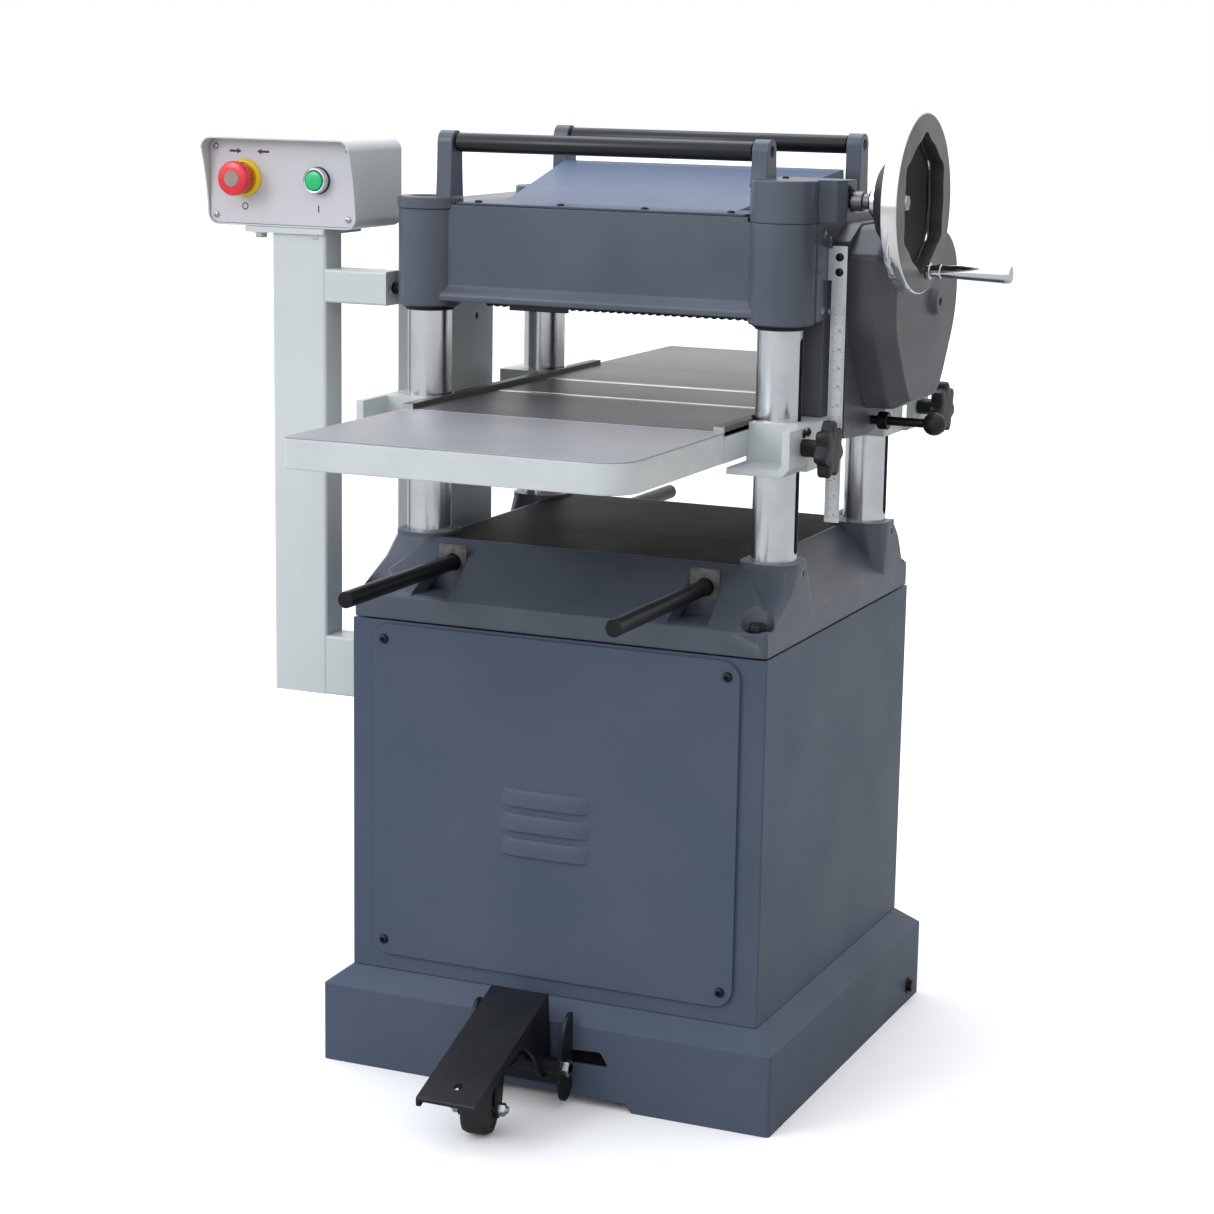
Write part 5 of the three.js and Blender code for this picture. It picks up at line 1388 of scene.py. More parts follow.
@dataclass
class Elevation(Assembly):
    """The worm gearbox on the right front column and the handwheel that turns it."""

    boss: float = 36.0
    cap_top: float = 1012.0
    rim_width: float = 18.0
    collar_x: tuple[float, float] = (271.0, 284.0)
    worm_end: float = 246.0
    rim_in: float = 67.0
    lobe: float = 7.0
    lobes: int = 6

    def gearbox(self, head: Head) -> None:
        """Joins a round cap, a necked arm with a square face, and the roller's lug."""
        g, c, w = self.spans("worm_gearbox", "column_rf", "handwheel")
        roller = self.span("return_roller_front")
        z0, z1 = g.z0, self.cap_top
        x, y = c.x, c.y
        wy = w.y
        rows = [(self.boss - 0.6, z0), (self.boss, z0 + 0.8), (self.boss, z1 - 2), (self.boss - 0.7, z1 - 0.6),
                (self.boss - 2, z1)]
        cap = lathe(Z, rows, (x, y), 96)
        neck = [(x + 4, y - 20), *arc(x + 58, y - 16, 36, 140, 100, 6), (x + 60, wy - 17), (x + 60, wy + 17),
                (x - 24, wy + 17),
                (x - 30, y + 10)]
        arm = slab(Z, smooth_corners(neck, [2] * 9 + [5] * 3, 3), z0, z1)
        lug = head.lug(head.lug_x, y, roller.z, z1 - 8)
        inside = bar(Z, 31, z0 - 1, z0 + 32, (x, y), 0.2)
        worm = bar(X, 14.5, x - 18, x + 40, (wy, w.z), 0.2, 48)
        shaft = drill(X, 8.6, x + 38, x + 62, (wy, w.z), 48)
        counter = drill(X, 12.5, x + 57.5, x + 62, (wy, w.z), 48)
        shape = cut(join(cap, arm, lug), inside, worm, shaft, counter, *head.pin_bores(1, y, roller.z, 204))
        self.add("gearbox_housing", shape, SLATE_CAST, bevel=0.8, replaces=["worm_gearbox"])
        screw = socket_button(Way.RIGHT, (g.x1, wy - 10, z1 - 9),
                              4.5) + socket_button(Way.UP, (x - 10, y + 30, z1), 4)
        self.add("gearbox_screws", screw, BLACK_OXIDE)

    def wheel(self) -> None:
        """Turns the rim with a scalloped inner edge, the dish, the hub and the shaft.

        The rim's inner radius is r = base + lobe * |cos(3 a)|^8 round the wheel, so that it has six narrow
        notches with broad rounded pads between them.
        """
        w = self.span("handwheel")
        y, z = w.y, w.z
        outer = (w.z1 - w.z0) / 2
        front, back = w.x1, w.x1 - self.rim_width
        angle = np.linspace(0, 2 * math.pi, 240, endpoint=False)
        inner = self.rim_in + self.lobe * np.abs(np.cos(self.lobes / 2 * angle)) ** 8
        even = 0 * inner

        def ring(rows: Sequence[tuple[Any, float]]) -> Skin:
            """A closed band round the wheel whose radii may wander with the angle."""
            turns = [place(X, y + (r + even) * np.sin(angle), z + (r + even) * np.cos(angle), np.array(t))
                     for r, t in rows]
            return loft(np.stack(turns), loop=True).outward()

        rim = ring([(inner + 1.5, front - 0.3), (outer - 1.6, front - 0.3), (outer - 0.5, front - 0.8),
                    (outer, front - 2), (outer, back + 3), (outer - 1.0, back + 0.8), (outer - 3, back),
                    (inner + 4, back),
                    (inner + 1.5, back + 3)])
        self.add("wheel_rim", rim, POLISHED_ALUMINIUM, "handwheel", replaces=["handwheel"], sharp=40)
        # The rim's front face is the darkened aluminium: painted shade.
        face = ring([(inner + 0.6, front), (outer - 1.7, front), (outer - 1.7, front - 0.5),
                     (inner + 0.6, front - 0.5)])
        self.add("wheel_rim_face", face, SHADED_ALUMINIUM, "handwheel")
        well = ring([(inner + 1.7, front - 0.5), (inner + 0.5, front - 0.2), (inner, front - 1.4),
                     (inner, back + 5), (inner + 3, back + 2),
                     (inner + 1.7, back + 5)])
        self.add("wheel_well", well, DISH_COAT, "handwheel")
        dish = [(17, back - 21), (34, back - 21), (52, back - 13), (66, back - 3), (76, back + 0.4),
                (76, back - 2), (68, back - 6), (50, back - 17), (38, back - 26),
                (17, back - 27)]
        self.add("wheel_dish", lathe(X, dish, (y, z), 96, loop=True), DISH_COAT, "handwheel")
        hub = [(8, back - 39), (15, back - 39), (17, back - 37), (17.5, back - 28), (21, back - 26.5),
               (24, back - 24), (20, back - 21), (18, back - 20), (17, back - 11), (15.5, back - 9.6),
               (8, back - 9.6)]
        self.add("wheel_hub", lathe(X, hub, (y, z), 64), CHROME, "handwheel")
        nut = washer(Way.RIGHT, (back - 9.6, y, z), 12, 2) + hex_head(Way.RIGHT, (back - 7.8, y, z), 17, 8)
        self.add("wheel_nut", nut, ZINC, "handwheel")
        shaft = bar(X, 8, w.x0 + 1, back - 30, (y, z), 0.6, 48)
        collar = bar(X, 10.5, *self.collar_x, (y, z), 0.8, 48)
        worm = bar(X, 13, w.x0, self.worm_end, (y, z), 1, 48)
        self.add("wheel_shaft", shaft + collar + worm, SHADED_ALUMINIUM, "handwheel")

    def grip(self) -> None:
        """Turns the revolving handle: a bolt head, a waist and a barrel that swells to its end."""
        g = self.span("handwheel_grip")
        at = (g.y, g.z)
        t = np.linspace(0, 1, 22)
        barrel = 6.3 + 3.7 * t ** 0.85 - 1.2 * np.clip((t - 0.93) / 0.07, 0, 1) ** 2
        along = g.x0 + 16 + (g.x1 - g.x0 - 16) * t
        rows = [(8.2, g.x0), (9, g.x0 + 1), (9, g.x0 + 3.4), (6.4, g.x0 + 4), (6.2, g.x0 + 11),
                (7.6, g.x0 + 11.6), (7.6, g.x0 + 15), *zip(barrel, along),
                (6.4, g.x1)]
        self.add("grip_barrel", lathe(X, rows, at, 64), CHROME, "handwheel_grip", replaces=["handwheel_grip"])

    def build(self, head: Head) -> None:
        """Builds the gearbox, the wheel and its handle."""
        self.gearbox(head)
        self.wheel()
        self.grip()


@dataclass
class FeedCase(Assembly):
    """The feed gear case with its cover, the shift rod, and the thickness scale before it."""

    chamfer: float = 12.0
    flange: float = 5.5

    def case(self) -> None:
        """Builds the inner wall, the back plate and the hollow cover, whose outer edge is chamfered."""
        p, c, k = self.spans("gearcase_plate", "gearcase_cover", "cutterhead")
        i, o, r = self.spans("infeed_roller", "outfeed_roller", "shift_rod")
        f = p.y0
        plate = smooth_corners([(f, 945), (f, r.z - 10), (f + 78, r.z - 15), (f + 117, r.z - 10), (f + 190, 772),
                                (f + 247, 853), (f + 247, 925), (f + 202, 963), (f + 37, 963)],
                               [3, 4, 12, 20, 40, 30, 30, 30, 6], 8)
        wall = slab(X, rounded(f - 30, f + 40, 757, self.span("head_casting").z0 + 5, 3), p.x0 - 26, p.x0 - 0.5)
        self.add("case_inner_wall", wall, SLATE_CASE, bevel=0.6)
        holes = [drill(X, radius, p.x0 - 2, p.x1 + 2, (n.y, n.z), sides)
                 for n, radius, sides in ((k, 16, 48), (i, 17, 48), (o, 17, 48), (r, 5.5, 32))]
        x0, x1 = p.x0 + self.flange, c.x1 - 7
        cover = smooth_corners([(f, 930), (f, 852), (f + 64, c.z0), (f + 174, c.z0), (f + 193, 772),
                                (f + 247, 855), (f + 247, 925), (f + 202, 961),
                                (f + 37, 961)], [5, 24, 22, 14, 22, 34, 34, 34, 8],
                               8)
        room = slab(X, shrunk(cover, -0.4), x0 - 0.4, p.x1 + 1)
        shape = cut(slab(X, plate, p.x0, p.x1), room, *holes)
        self.add("case_plate", shape, SLATE_CASE, bevel=0.8, replaces=["gearcase_plate"])
        d = self.chamfer
        outer = stack(X, [(shrunk(cover, 0.8), x0), (cover, x0 + 1), (cover, x1 - 2 * d),
                          (shrunk(cover, 1.2), x1 - 1.6 * d), (shrunk(cover, d - 2), x1 - 1.2),
                          (shrunk(cover, d), x1)])
        inner = stack(X, [(shrunk(cover, 6), x0 - 1), (shrunk(cover, 6), x1 - d - 2),
                          (shrunk(cover, d + 5), x1 - 6)])
        hub = head_turned(Way.RIGHT, (x1 - 1, f + 149, 873), [(17, 0), (15.5, 2), (14, 6.5), (13, 8)], 64)
        hole = drill(X, 5, x1 - 10, c.x1 + 3, (f + 149, 873), 32)
        self.add("case_cover", cut(join(outer, hub), inner, hole), SLATE_CASE, bevel=0.5,
                 replaces=["gearcase_cover"])
        spots = [(f + 12, 905), (f + 12, 846), (f + 236, 905), (f + 120, c.z0 + 10), (f + 60, 950),
                 (f + 180, 950)]
        screws = [socket_button(Way.LEFT, (p.x0 + 0.1, y, z), 4) for y, z in spots]
        self.add("case_screws", sum_of(screws), BLACK_OXIDE)

    def shifter(self) -> None:
        """Turns the shift rod with its collar and ball knob."""
        r = self.span("shift_rod")
        at = (r.y, r.z)
        ball = 13.0
        middle = r.x1 - ball
        swing = np.linspace(0.06, math.pi - 0.5, 18)
        knob = [(ball * math.sin(a), middle + ball * math.cos(a)) for a in swing]
        rows = [*knob, (5.4, middle - ball * 0.9)]
        self.add("shift_knob", lathe(X, rows, at, 48), PHENOLIC, "shift_rod", replaces=["shift_rod"], sharp=60)
        rod = bar(X, 5, r.x0, middle - ball + 3, at, 0.6, 48)
        collar = bar(X, 10, r.x0 + 22, r.x0 + 34, at, 1.0, 48)
        self.add("shift_bar", rod + collar, BLACK_OXIDE, "shift_rod")

    def scale(self) -> None:
        """Cuts the scale strip and its bracket, and prints fine graduations and numbers on it."""
        s = self.span("thickness_scale")
        x0, x1, face = s.x1 - 17, s.x1, s.y0
        strip = slab(Y, rounded(x0, x1, s.z0, s.z1, 0.8, 3), face, face + 0.9)
        tab = block(s.x0, x1 - 7, face + 0.4, s.y1, 905, s.z1 - 3)
        self.add("scale_strip", strip + tab, BRUSHED_ALUMINIUM, bevel=0.2, replaces=["thickness_scale"])
        marks = []
        zero = s.z0 + 6
        for i in range(int((s.z1 - 62 - zero) / 2)):
            z = zero + 2 * i
            length = 7.0 if i % 5 == 0 else 4.0
            marks.append(block(x0 + 0.6, x0 + 0.6 + length, face - 0.06, face + 0.1, z - 0.18, z + 0.18))
            marks.append(block(x1 - 0.6 - length * 0.6, x1 - 0.6, face - 0.06, face + 0.1, z - 0.18, z + 0.18))
        self.add("scale_marks", sum_of(marks), INK)
        numbers = []
        for i in range(0, int((s.z1 - 70 - zero) / 10), 2):
            numbers.append(lettering(str(i), 4.6, (x0 + 10.6, face - 0.05, zero + 10 * i + 1.0)))
        self.add("scale_numbers", sum_of(numbers), INK)
        screws = [socket_button(Way.FRONT, (x0 + 8.5, face, z), 4.6) for z in (s.z1 - 12, s.z1 - 28)]
        self.add("scale_screws", sum_of(screws), BLACK_OXIDE)

    def build(self) -> None:
        """Builds the gear case, the shifter and the scale."""
        self.case()
        self.shifter()
        self.scale()


def lettering(text: str, size: float, at: Sequence[float]) -> Skin:
    """Thin raised characters that face the operator.

    Args:
        text: the characters.
        size: their height in millimetres.
        at: the middle of the first line's foot.

    Returns:
        A surface in millimetres.
    """
    curve = bpy.data.curves.new("lettering", "FONT")
    curve.body = text
    curve.size = size
    curve.extrude = 0.04
    curve.align_x = "CENTER"
    curve.resolution_u = 2
    item = bpy.data.objects.new("lettering", curve)
    link(item)
    graph = bpy.context.evaluated_depsgraph_get()
    mesh = bpy.data.meshes.new_from_object(item.evaluated_get(graph))
    points = np.empty(len(mesh.vertices) * 3)
    mesh.vertices.foreach_get("co", points)
    faces = [tuple(polygon.vertices) for polygon in mesh.polygons]
    bpy.data.curves.remove(curve)
    bpy.data.meshes.remove(mesh)
    flat = points.reshape(-1, 3)
    upright = np.stack([flat[:, 0], -flat[:, 2], flat[:, 1]], axis=1)
    return Skin(upright + np.array(at), faces)


# ------------------------------------------------------------------ table
@dataclass
class Table(Assembly):
    """The lifting table with its side lips and open corner trays, the wings, rollers and knobs."""

    half: float = 189.0
    lip: float = 12.0
    skin: float = 1.4
    tray_drop: float = 13.0
    column_hole: float = 25.6
    slot_in: float = 16.0
    knob_radius: float = 27.2
    knob_lobe: float = 3.6

    def body(self) -> None:
        """Joins the painted underside, sleeves and trays, and lays the ground top with its lips on it."""
        b, w = self.spans("main_table", "infeed_wing")
        top, bottom = w.z1, w.z0
        floor = bottom - self.tray_drop
        h = self.half
        slot = h - self.slot_in
        rollers = self.spans("bed_roller_front", "bed_roller_rear")
        knobs = self.spans("lock_knob_front", "lock_knob_rear")
        deck_low = top - 13
        under = cut(block(-h, h, b.y0, b.y1, bottom, deck_low),
                    block(-h + 9, h - 9, b.y0 + 9, b.y1 - 9, bottom - 1, deck_low + 2))
        ribs = [block(-h + 8, h - 8, y - 4, y + 4, bottom, deck_low) for y in (-125, -50, 175, 250)]
        plate = block(-h, h, b.y0, b.y1, deck_low, top - 4.5)
        parts, cuts, nuts, threads = [under, plate, *ribs], [], [], []
        for name, x, y, side, end in self.corners():
            outer = b.x1
            near, far = sorted((y + end * 33, y + end * 87))
            sleeve_out = x * side + 33 if name == "rr" else outer
            sleeve = slab(Z, rounded(*sorted((side * (h - 3), side * sleeve_out)), y - 33, y + 33, 4), floor,
                          top + 3)
            tray = slab(Y, tray_outline(side, h - 3, outer, floor, top + 3), near - 1, far + 1)
            parts += [sleeve, tray]
            cuts.append(drill(Z, self.column_hole, floor - 1, top + 8, (x, y), 96))
            nuts.append(block(*sorted((side * (x * side + 10), side * (x * side + 34))), y - 4.2, y + 4.2,
                              top - 40, top - 14))
            nuts.append(bar(Z, 13.5, top - 42, top - 12, (x, y), 0.5, 32))
            threads.append(drill(Z, 8.6, floor - 1, top + 4, (x, y), 32))
        for r in rollers:
            cuts += [block(-slot, slot, r.y - 7, r.y + 7, top - 15, top + 1),
                     drill(X, 18.5, -slot, slot, (r.y, r.z)), drill(X, 7.4, -h + 4, h - 4, (r.y, r.z), 32)]
        cuts += [drill(X, 6.4, 240, 262, (k.y, top - 18), 32) for k in knobs]
        lip_room = [block(*sorted((s * (h - self.lip), s * h)), b.y0 - 1, b.y1 + 1, top - 5, top + 5)
                    for s in (-1, 1)]
        shape = cut(join(cut(join(*parts), *cuts, *lip_room), *nuts), *threads)
        self.add("table_body", shape, PALE_CAST, "main_table", bevel=0.7, replaces=["main_table"])
        inner = h - self.lip
        sheet = block(-h, h, b.y0, b.y1, top - 4.5, top)
        lips = [block(*sorted((s * inner, s * h)), b.y0, b.y1, top - 4.5, b.z1) for s in (-1, 1)]
        darks = cut(join(*lips), *[drill(Z, 29.0, top - 9, b.z1 + 1, (x, y), 96) for _, x, y, _,
                                   _ in self.corners()])
        # The lips are in the darker lip iron: painted shade.
        self.add("table_lips", darks, SHADED_LIP_IRON, "main_table", bevel=0.6)
        ends = [block(*sorted((s * (inner - 0.05), s * (h + 0.05))), b.y0 - 0.1, b.y0 + 0.5, top - 8, b.z1 - 0.5)
                for s in (-1, 1)]
        # Thin near-white strips on the front seam and beside each roller slot: painted highlight.
        lines = [block(-inner, inner, b.y0 - 0.3, b.y0 + 0.9, top - 0.5, top + 0.06)]
        for r in rollers:
            lines += [block(-slot, slot, r.y + s * 7.9 - 0.9, r.y + s * 7.9 + 0.9, top - 0.5, top + 0.06)
                      for s in (-1, 1)]
        self.add("lip_ends", sum_of(ends), ZINC, "main_table")
        self.add("table_bright_edges", sum_of(lines), PAINTED_GLINT, "main_table")
        ground = cut(sheet, *[block(-slot, slot, r.y - 7, r.y + 7, top - 9, top + 1) for r in rollers],
                     *[drill(X, 18.5, -slot, slot, (r.y, r.z)) for r in rollers],
                     *[drill(Z, self.column_hole, top - 9, b.z1 + 1, (x, y), 96) for _, x, y, _,
                       _ in self.corners()])
        # The main table's top is the darker ground iron: painted shade under the head.
        self.add("table_top", ground, SHADED_GROUND_IRON, "main_table", bevel=0.35)

    def wings(self) -> None:
        """Casts each wing hollow with ribs, with a ground sheet on top and one large round corner."""
        for node, end in (("infeed_wing", -1), ("outfeed_wing", 1)):
            w = self.span(node)
            h = w.x1
            radii = [4, 35, 1, 1] if end < 0 else [1, 1, 35, 4]
            small = [1, 26, 1, 1] if end < 0 else [1, 1, 26, 1]
            outline = rounded(-h, h, w.y0, w.y1, radii, 12)
            inside = rounded(-h + 9, h - 9, w.y0 + 9, w.y1 - 9, small, 12)
            top = w.z1 - self.skin
            ribs = [block(x - 4, x + 4, w.y0 + 8, w.y1 - 8, w.z0 + 4, w.z1 - 9) for x in (-60, 60)]
            shape = join(cut(slab(Z, outline, w.z0, top), slab(Z, inside, w.z0 - 1, w.z1 - 10)), *ribs)
            self.add(f"{node}_body", shape, PALE_CAST, "main_table", bevel=1.0, replaces=[node], segments=3)
            ground = stack(Z, [(outline, top), (outline, w.z1 - 0.5), (inset(outline, 0.5), w.z1)])
            # The outfeed wing's top is the darker ground iron (painted shade); the infeed wing keeps the plain
            # ground iron.
            self.add(f"{node}_face", ground, GROUND_IRON if end < 0 else SHADED_GROUND_IRON, "main_table")

    def rollers(self) -> None:
        """Turns the two bed rollers that stand a hair above the table."""
        for name in ("front", "rear"):
            node = f"bed_roller_{name}"
            b = self.span(node)
            r = (b.z1 - b.z0) / 2
            roller = bar(X, r, b.x0 + 10, b.x1 - 10, (b.y, b.z), 0.8, 96)
            pins = bar(X, 7, b.x0, b.x1, (b.y, b.z), 0.6, 32)
            self.add(f"{node}_bar", join(roller, pins), CROSS_STEEL, node, replaces=[node])

    def knobs(self) -> None:
        """Moulds the lobed lock knobs: r = radius + lobe * cos(7 a), with a neck and a stud."""
        for name in ("front", "rear"):
            node = f"lock_knob_{name}"
            b = self.span(node)
            z = self.span("infeed_wing").z1 - 18
            y = self.span(f"column_{'rf' if name == 'front' else 'rr'}").y + (-49 if name == "front" else 49)
            a = np.linspace(0, 2 * math.pi, 112, endpoint=False)
            r = self.knob_radius + self.knob_lobe * np.cos(7 * a)
            rows = [(0.80, b.x0 + 31), (0.97, b.x0 + 31.6), (1.0, b.x0 + 33.2), (1.0, b.x0 + 42.5),
                    (0.97, b.x0 + 44.2), (0.9, b.x0 + 45),
                    (0.4, b.x0 + 44.6)]
            rings = [place(X, y + k * r * np.sin(a), z + k * r * np.cos(a), np.array(t)) for k, t in rows]
            neck = lathe(X, [(9, b.x0 + 9.5), (9.4, b.x0 + 11), (9.4, b.x0 + 24), (12, b.x0 + 30),
                             (12, b.x0 + 33)], (y, z), 48)
            self.add(f"{node}_head", loft(np.stack(rings)) + neck, PHENOLIC, node, replaces=[node], sharp=40)
            if name == "front":
                wall = self.span("main_table").x1
                small = [socket_button(Way.RIGHT, (wall, y + d, z + 14.5), 4.6) for d in (4, 17)]
                self.add("gib_screws", sum_of(small), BLACK_OXIDE, "main_table")
            stud = bar(X, 6, b.x0, b.x0 + 12, (y, z), 0.5, 48)
            self.add(f"{node}_stud", stud, ZINC, node)

    def build(self) -> None:
        """Builds the table, its wings, rollers and knobs."""
        self.body()
        self.wings()
        self.rollers()
        self.knobs()


def tray_outline(side: int, near: float, far: float, floor: float, top: float) -> np.ndarray:
    """The section of an open tray: a floor with an upright outer wall.

    Args:
        side: 1 on the right, -1 on the left.
        near: where the floor starts, from the middle.
        far: the outer face.
        floor: its lowest level.
        top: its highest level.

    Returns:
        The outline, in X and Z.
    """
    wall, thick = 9.0, 7.0
    rows = np.array([(near, floor), (far - 8, floor), (far, floor + 9), (far, top), (far - wall, top),
                     (far - wall, floor + thick + 5), (far - wall - 5, floor + thick), (near, floor + thick)])
    return rows * np.array([side, 1])


# ------------------------------------------------------------------ controls
@dataclass
class Controls(Assembly):
    """The control post with its two arms, the switch box, its panel and its two buttons."""

    post_x: tuple[float, float] = (-403.0, -333.0)
    depth: float = 40.0
    arm_height: float = 70.0
    cabinet_side: float = -247.3
    sheet: float = 2.0

    def post(self) -> None:
        """Welds the post: a square tube with round edges, two arms, a spacer and the box's seat."""
        p, c, h, b = self.spans("control_post", "column_lf", "head_casting", "control_box")
        x0, x1 = self.post_x
        y0, y1 = c.y - self.depth / 2, c.y + self.depth / 2
        top = b.z0 - 6.3
        outer = slab(Z, rounded(x0, x1, y0, y1, 4), p.z0, top)
        hollow = slab(Z, rounded(x0 + 3, x1 - 3, y0 + 3, y1 - 3, 1.5), p.z0 - 1, top - 3)
        arm_low, arm_high = h.z0 - 3, h.z0 + 35
        arm_end = c.x - 35.5 - 10
        upper = slab(X, rounded(y0, y1, arm_low, arm_high, 3), x1 - 1, arm_end)
        lower = slab(X, rounded(y0, y1, p.z0, p.z0 + self.arm_height, 3), x1 - 1, self.cabinet_side)
        spacer = bar(X, 6.5, arm_end - 1, p.x1, (c.y, (arm_low + arm_high) / 2), 0.4, 48)
        seat = slab(Z, rounded(-437, x1, b.y0 + 14, b.y0 + 104, 3), top - 0.5, b.z0 - 0.3)
        hole = drill(X, 4.5, arm_end - 8, arm_end + 2, (y0 + 10, (arm_low + arm_high) / 2), 32)
        shape = cut(join(cut(outer, hollow), upper, lower, seat), hole)
        self.add("post_weldment", shape, PALE_SHEET, bevel=0.6, replaces=["control_post"])
        self.add("post_spacer", spacer, BLACK_OXIDE)
        spots = [(-420, b.y0 + 24), (-346, b.y0 + 24), (-420, b.y0 + 94)]
        bolts = [washer(Way.DOWN, (x, y, top - 0.5), 8, 1.4) + hex_head(Way.DOWN, (x, y, top - 1.8), 13, 5)
                 for x, y in spots]
        self.add("seat_bolts", sum_of(bolts), ZINC)

    def box(self) -> None:
        """Folds the switch box, open at the front, whose brow stands forward at the top."""
        b = self.span("control_box")
        t = self.sheet
        front = b.y0 + 16
        outer = slab(Y, rounded(b.x0, b.x1, b.z0, b.z1, 13, 12), b.y0, b.y1)
        inner = slab(Y, rounded(b.x0 + t, b.x1 - t, b.z0 + t, b.z1 - t, 11, 12), b.y0 - 1, b.y1 - t)
        sill = np.array([(b.y0 - 1, b.z0 - 1), (front, b.z0 - 1), *[
            (front - 15.5 * s ** 1.8, b.z0 + 4 + (b.z1 - b.z0 - 16) * s) for s in np.linspace(0, 1, 14)],
                         (b.y0 - 1, b.z1 - 12)])
        brow = slab(X, sill, b.x0 - 1, b.x1 + 1)
        self.add("box_shell", cut(outer, inner, brow), PALE_SHEET, bevel=0.7, replaces=["control_box"])

    def panel(self) -> None:
        """Cuts the panel, screws it down, and prints plain arrows and the on and off marks."""
        p, e, s = self.spans("control_panel", "estop_button", "start_button")
        face = p.y0
        plate = slab(Y, rounded(p.x0, p.x1, p.z0, p.z1, 11, 12), face, p.y1)
        holes = [drill(Y, 8.4, face - 2, p.y1 + 2, (e.x, e.z), 48),
                 drill(Y, 9.4, face - 2, p.y1 + 2, (s.x, s.z), 48)]
        self.add("panel_face", cut(plate, *holes), PANEL_FACE, bevel=0.5, replaces=["control_panel"])
        spots = [(x, z) for x in (p.x0 + 8, p.x1 - 8) for z in (p.z0 + 9, p.z1 - 9)]
        self.add("panel_face_screws", sum_of([cross_screw(Way.FRONT, (x, face, z), 3.6) for x, z in spots]),
                 ZINC)
        self.add("panel_marks", self.marks(face, e, s), INK)

    def marks(self, face: float, stop: Span, start: Span) -> Skin:
        """Two arrows over the stop button, a ring under it, and a bar under the start button.

        Args:
            face: the panel's face.
            stop: the stop button's box.
            start: the start button's box.

        Returns:
            The marks, as thin raised ink.
        """
        arrow = np.array([(-8, -1.3), (2, -1.3), (2, -3.2), (8, 0), (2, 3.2), (2, 1.3), (-8, 1.3)])
        level = stop.z + 30
        first = slab(Y, arrow + np.array([stop.x - 12, level]), face - 0.08, face + 0.1)
        second = slab(Y, arrow * np.array([-1, 1]) + np.array([stop.x + 24, level]), face - 0.08, face + 0.1)
        ring = tube(Y, 4.2, 2.9, face - 0.08, face + 0.1, (stop.x, stop.z - 32), 0.02, 32)
        stroke = slab(Y, rounded(start.x - 0.8, start.x + 0.8, stop.z - 36, stop.z - 28, 0.3, 2), face - 0.08,
                      face + 0.1)
        return first + second + ring + stroke

    def buttons(self) -> None:
        """Turns the mushroom with its gripped edge, the collar, the bezel and the start button."""
        e, k, z, s = self.spans("estop_button", "estop_collar", "start_bezel", "start_button")
        face = self.span("control_panel").y0
        a = np.linspace(0, 2 * math.pi, 144, endpoint=False)
        ribs = np.where(np.cos(18 * a) > 0.2, 1.0, 0.965)
        rows = [(7.6, face - 10), (16.8, face - 10), (17.2, face - 11), (18.2, face - 17), (19.3, face - 19)]
        rows += [(19.5, face - 20.5), (19.5, face - 26.5), (18.6, face - 28.6), (16.8, face - 29.6),
                 (9.5, face - 30)]
        rings = []
        for i, (r, t) in enumerate(rows):
            gripped = r * ribs if 2 <= i <= 5 else r + 0 * ribs
            rings.append(place(Y, e.x + gripped * np.cos(a), e.z + gripped * np.sin(a), np.array(t)))
        self.add("estop_mushroom", loft(np.stack(rings)), RED_PLASTIC, "estop_button", replaces=["estop_button"],
                 sharp=30)
        disc = lathe(Y, [(9.2, face - 29.8), (9.2, face - 30.2), (8.8, face - 30.5), (3, face - 30.5)],
                     (e.x, e.z), 48)
        self.add("estop_disc", disc, GREY_PLASTIC, "estop_button")
        stem = bar(Y, 7.5, face - 10.5, e.y1, (e.x, e.z), 0.5, 48)
        self.add("estop_stem", stem, GREY_PLASTIC, "estop_button")
        collar = lathe(Y, [(8.3, k.y1), (21.5, k.y1), (21.5, k.y0 + 1.2), (20.6, k.y0), (19.6, k.y0 - 3.2),
                           (18.2, k.y0 - 3.4), (18.0, k.y0), (8.3, k.y0)], (e.x, e.z), 64, loop=True)
        self.add("estop_ring", collar, YELLOW_PLASTIC, replaces=["estop_collar"])
        bezel = lathe(Y, [(11.2, z.y1 - 1), (14.0, z.y1 - 1), (14.5, z.y1 - 2.5), (14.5, z.y0 + 2.5),
                          (13.9, z.y0 + 0.7), (12.9, z.y0), (11.9, z.y0 + 0.3),
                          (11.2, z.y0 + 1.2)], (s.x, s.z), 64, loop=True)
        self.add("start_ring", bezel, CHROME, replaces=["start_bezel"])
        gasket = tube(Y, 15.2, 11.3, z.y1 - 1.4, z.y1, (s.x, s.z), 0.3)
        self.add("start_gasket", gasket, RUBBER)
        cap = lathe(Y, [(10.4, s.y0 + 9), (10.6, s.y0 + 1.4), (10.2, s.y0 + 0.5), (9, s.y0), (3, s.y0)],
                    (s.x, s.z), 64)
        self.add("start_cap", cap, GREEN_PLASTIC, "start_button", replaces=["start_button"])
        stem = bar(Y, 8.5, s.y0 + 8.6, s.y1, (s.x, s.z), 0.4, 48)
        self.add("start_stem", stem, GREY_PLASTIC, "start_button")

    def build(self) -> None:
        """Builds the post, the box, its panel and its buttons."""
        self.post()
        self.box()
        self.panel()
        self.buttons()


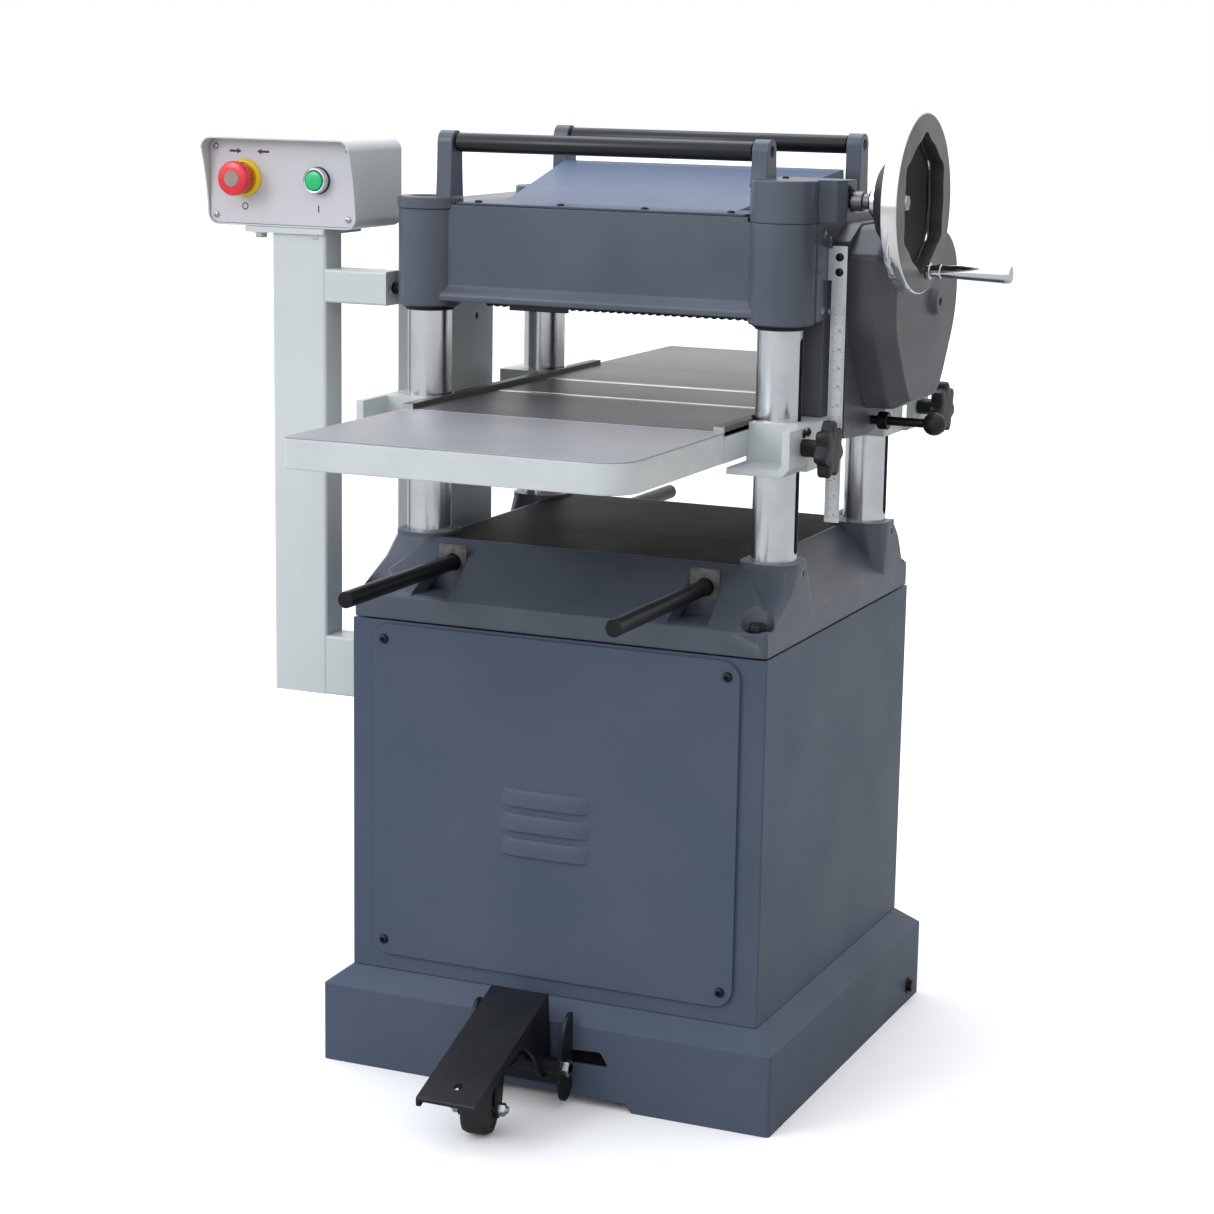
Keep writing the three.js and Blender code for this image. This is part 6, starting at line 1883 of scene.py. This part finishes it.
# ------------------------------------------------------------------ studio
@dataclass
class Studio:
    """The camera, the plain floor and the soft light."""

    place: tuple[float, float, float] = (1.2466, -2.9233, 1.1448)
    yaw: float = 23.59
    pitch: float = 11.43
    roll: float = 0.97
    lens: float = 81.97
    bright_side: tuple[float, float, float] = (-0.62, -0.3, 0.72)
    dim: float = 0.78
    bright: float = 1.9
    floor_bounce: str = "#b4b4b2"

    def camera(self) -> None:
        """Sets the camera: it looks along its yaw and pitch, then rolls about its view."""
        yaw, pitch, roll = (math.radians(v) for v in (self.yaw, self.pitch, self.roll))
        ahead = np.array([-math.sin(yaw) * math.cos(pitch), math.cos(yaw) * math.cos(pitch), -math.sin(pitch)])
        right = np.array([math.cos(yaw), math.sin(yaw), 0.0])
        up = np.cross(right, ahead)
        across = math.cos(roll) * right + math.sin(roll) * up
        above = -math.sin(roll) * right + math.cos(roll) * up
        data = bpy.data.cameras.new("camera")
        data.lens = self.lens
        data.sensor_width = 36.0
        data.clip_end = 60.0
        item = bpy.data.objects.new("camera", data)
        turn = Matrix(np.stack([across, above, -ahead], axis=1).tolist()).to_4x4()
        item.matrix_world = Matrix.Translation(self.place) @ turn
        link(item)
        bpy.context.scene.camera = item

    def lamp(self, name: str, at: Sequence[float], to: Sequence[float], size: float, power: float,
             colour: str) -> None:
        """Hangs a square soft light.

        Args:
            name: its name.
            at: its place in metres.
            to: the point it faces.
            size: its side in metres.
            power: its power in watts.
            colour: its colour in sRGB hex.
        """
        data = bpy.data.lights.new(name, "AREA")
        data.shape = "SQUARE"
        data.size = size
        data.energy = power
        data.color = linear(colour)[:3]
        item = bpy.data.objects.new(name, data)
        away = (Vector(at) - Vector(to)).to_track_quat("Z", "Y")
        item.rotation_mode = "QUATERNION"
        item.rotation_quaternion = away
        item.location = at
        link(item)

    def floor(self) -> None:
        """Lays a wide plain floor."""
        mesh = bpy.data.meshes.new("floor")
        half = 30.0
        mesh.from_pydata([(-half, -half, 0), (half, -half, 0), (half, half, 0), (-half, half, 0)], [],
                         [(0, 1, 2, 3)])
        item = bpy.data.objects.new("floor", mesh)
        material = bpy.data.materials.new("plain_floor")
        material.use_nodes = True
        tree = material.node_tree
        tree.nodes.clear()
        ray = add_node(tree, "ShaderNodeLightPath")
        seen = add_node(tree, "ShaderNodeBsdfDiffuse", {"Color": linear("#fcfcfc")})
        felt = add_node(tree, "ShaderNodeBsdfDiffuse", {"Color": linear(self.floor_bounce)})
        both = add_node(tree, "ShaderNodeMixShader", {0: ray.outputs["Is Camera Ray"], 1: felt.outputs[0],
                                                      2: seen.outputs[0]})
        add_node(tree, "ShaderNodeOutputMaterial", {"Surface": both.outputs[0]})
        mesh.materials.append(material)
        link(item)

    def sky(self) -> None:
        """Surrounds the scene with white for the camera, and with light that is brightest on the left."""
        world = bpy.data.worlds.new("studio")
        bpy.context.scene.world = world
        world.use_nodes = True
        tree = world.node_tree
        tree.nodes.clear()
        way = add_node(tree, "ShaderNodeTexCoord").outputs["Generated"]
        toward = add_node(tree, "ShaderNodeVectorMath", {0: way, 1: self.bright_side}, operation="DOT_PRODUCT")
        level = add_node(tree, "ShaderNodeMapRange", {"Value": toward.outputs["Value"], "From Min": -0.35,
                                                      "From Max": 0.9, "To Min": self.dim,
                                                      "To Max": self.bright})
        tone = add_node(tree, "ShaderNodeMix", {0: toward.outputs["Value"], 6: linear("#fdfbf8"),
                                                7: linear("#eef3fc")},
                        data_type="RGBA")
        light = add_node(tree, "ShaderNodeBackground", {"Color": tone.outputs[2], "Strength": level.outputs[0]})
        white = add_node(tree, "ShaderNodeBackground", {"Color": (1, 1, 1, 1), "Strength": 1.0})
        ray = add_node(tree, "ShaderNodeLightPath")
        both = add_node(tree, "ShaderNodeMixShader", {0: ray.outputs["Is Camera Ray"], 1: light.outputs[0],
                                                      2: white.outputs[0]})
        add_node(tree, "ShaderNodeOutputWorld", {"Surface": both.outputs[0]})

    def build(self) -> None:
        """Sets up camera, floor and light."""
        self.camera()
        self.floor()
        self.sky()
        self.lamp("key", (-2.2, -3.6, 2.6), (0, 0, 0.6), 1.6, 44, "#ffffff")
        self.lamp("overhead", (-0.4, 0.8, 3.4), (0, 0, 0.5), 1.8, 30, "#e4eeff")
        bpy.context.scene.view_settings.view_transform = "Standard"


def main() -> None:
    """Builds every sub-assembly in order round the frame."""
    logging.basicConfig(level=logging.INFO, format="%(message)s")
    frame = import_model()
    bench = Bench(frame)
    Studio().build()
    BaseSkirt(bench).build()
    PedalCaster(bench).build()
    Cabinet(bench).build()
    BeltDrive(bench).build()
    BaseCasting(bench).build()
    head = Head(bench)
    head.build()
    Elevation(bench).build(head)
    FeedCase(bench).build()
    Table(bench).build()
    Controls(bench).build()
    log.info("%d pieces", bench.count)


if __name__ == "__main__":
    main()
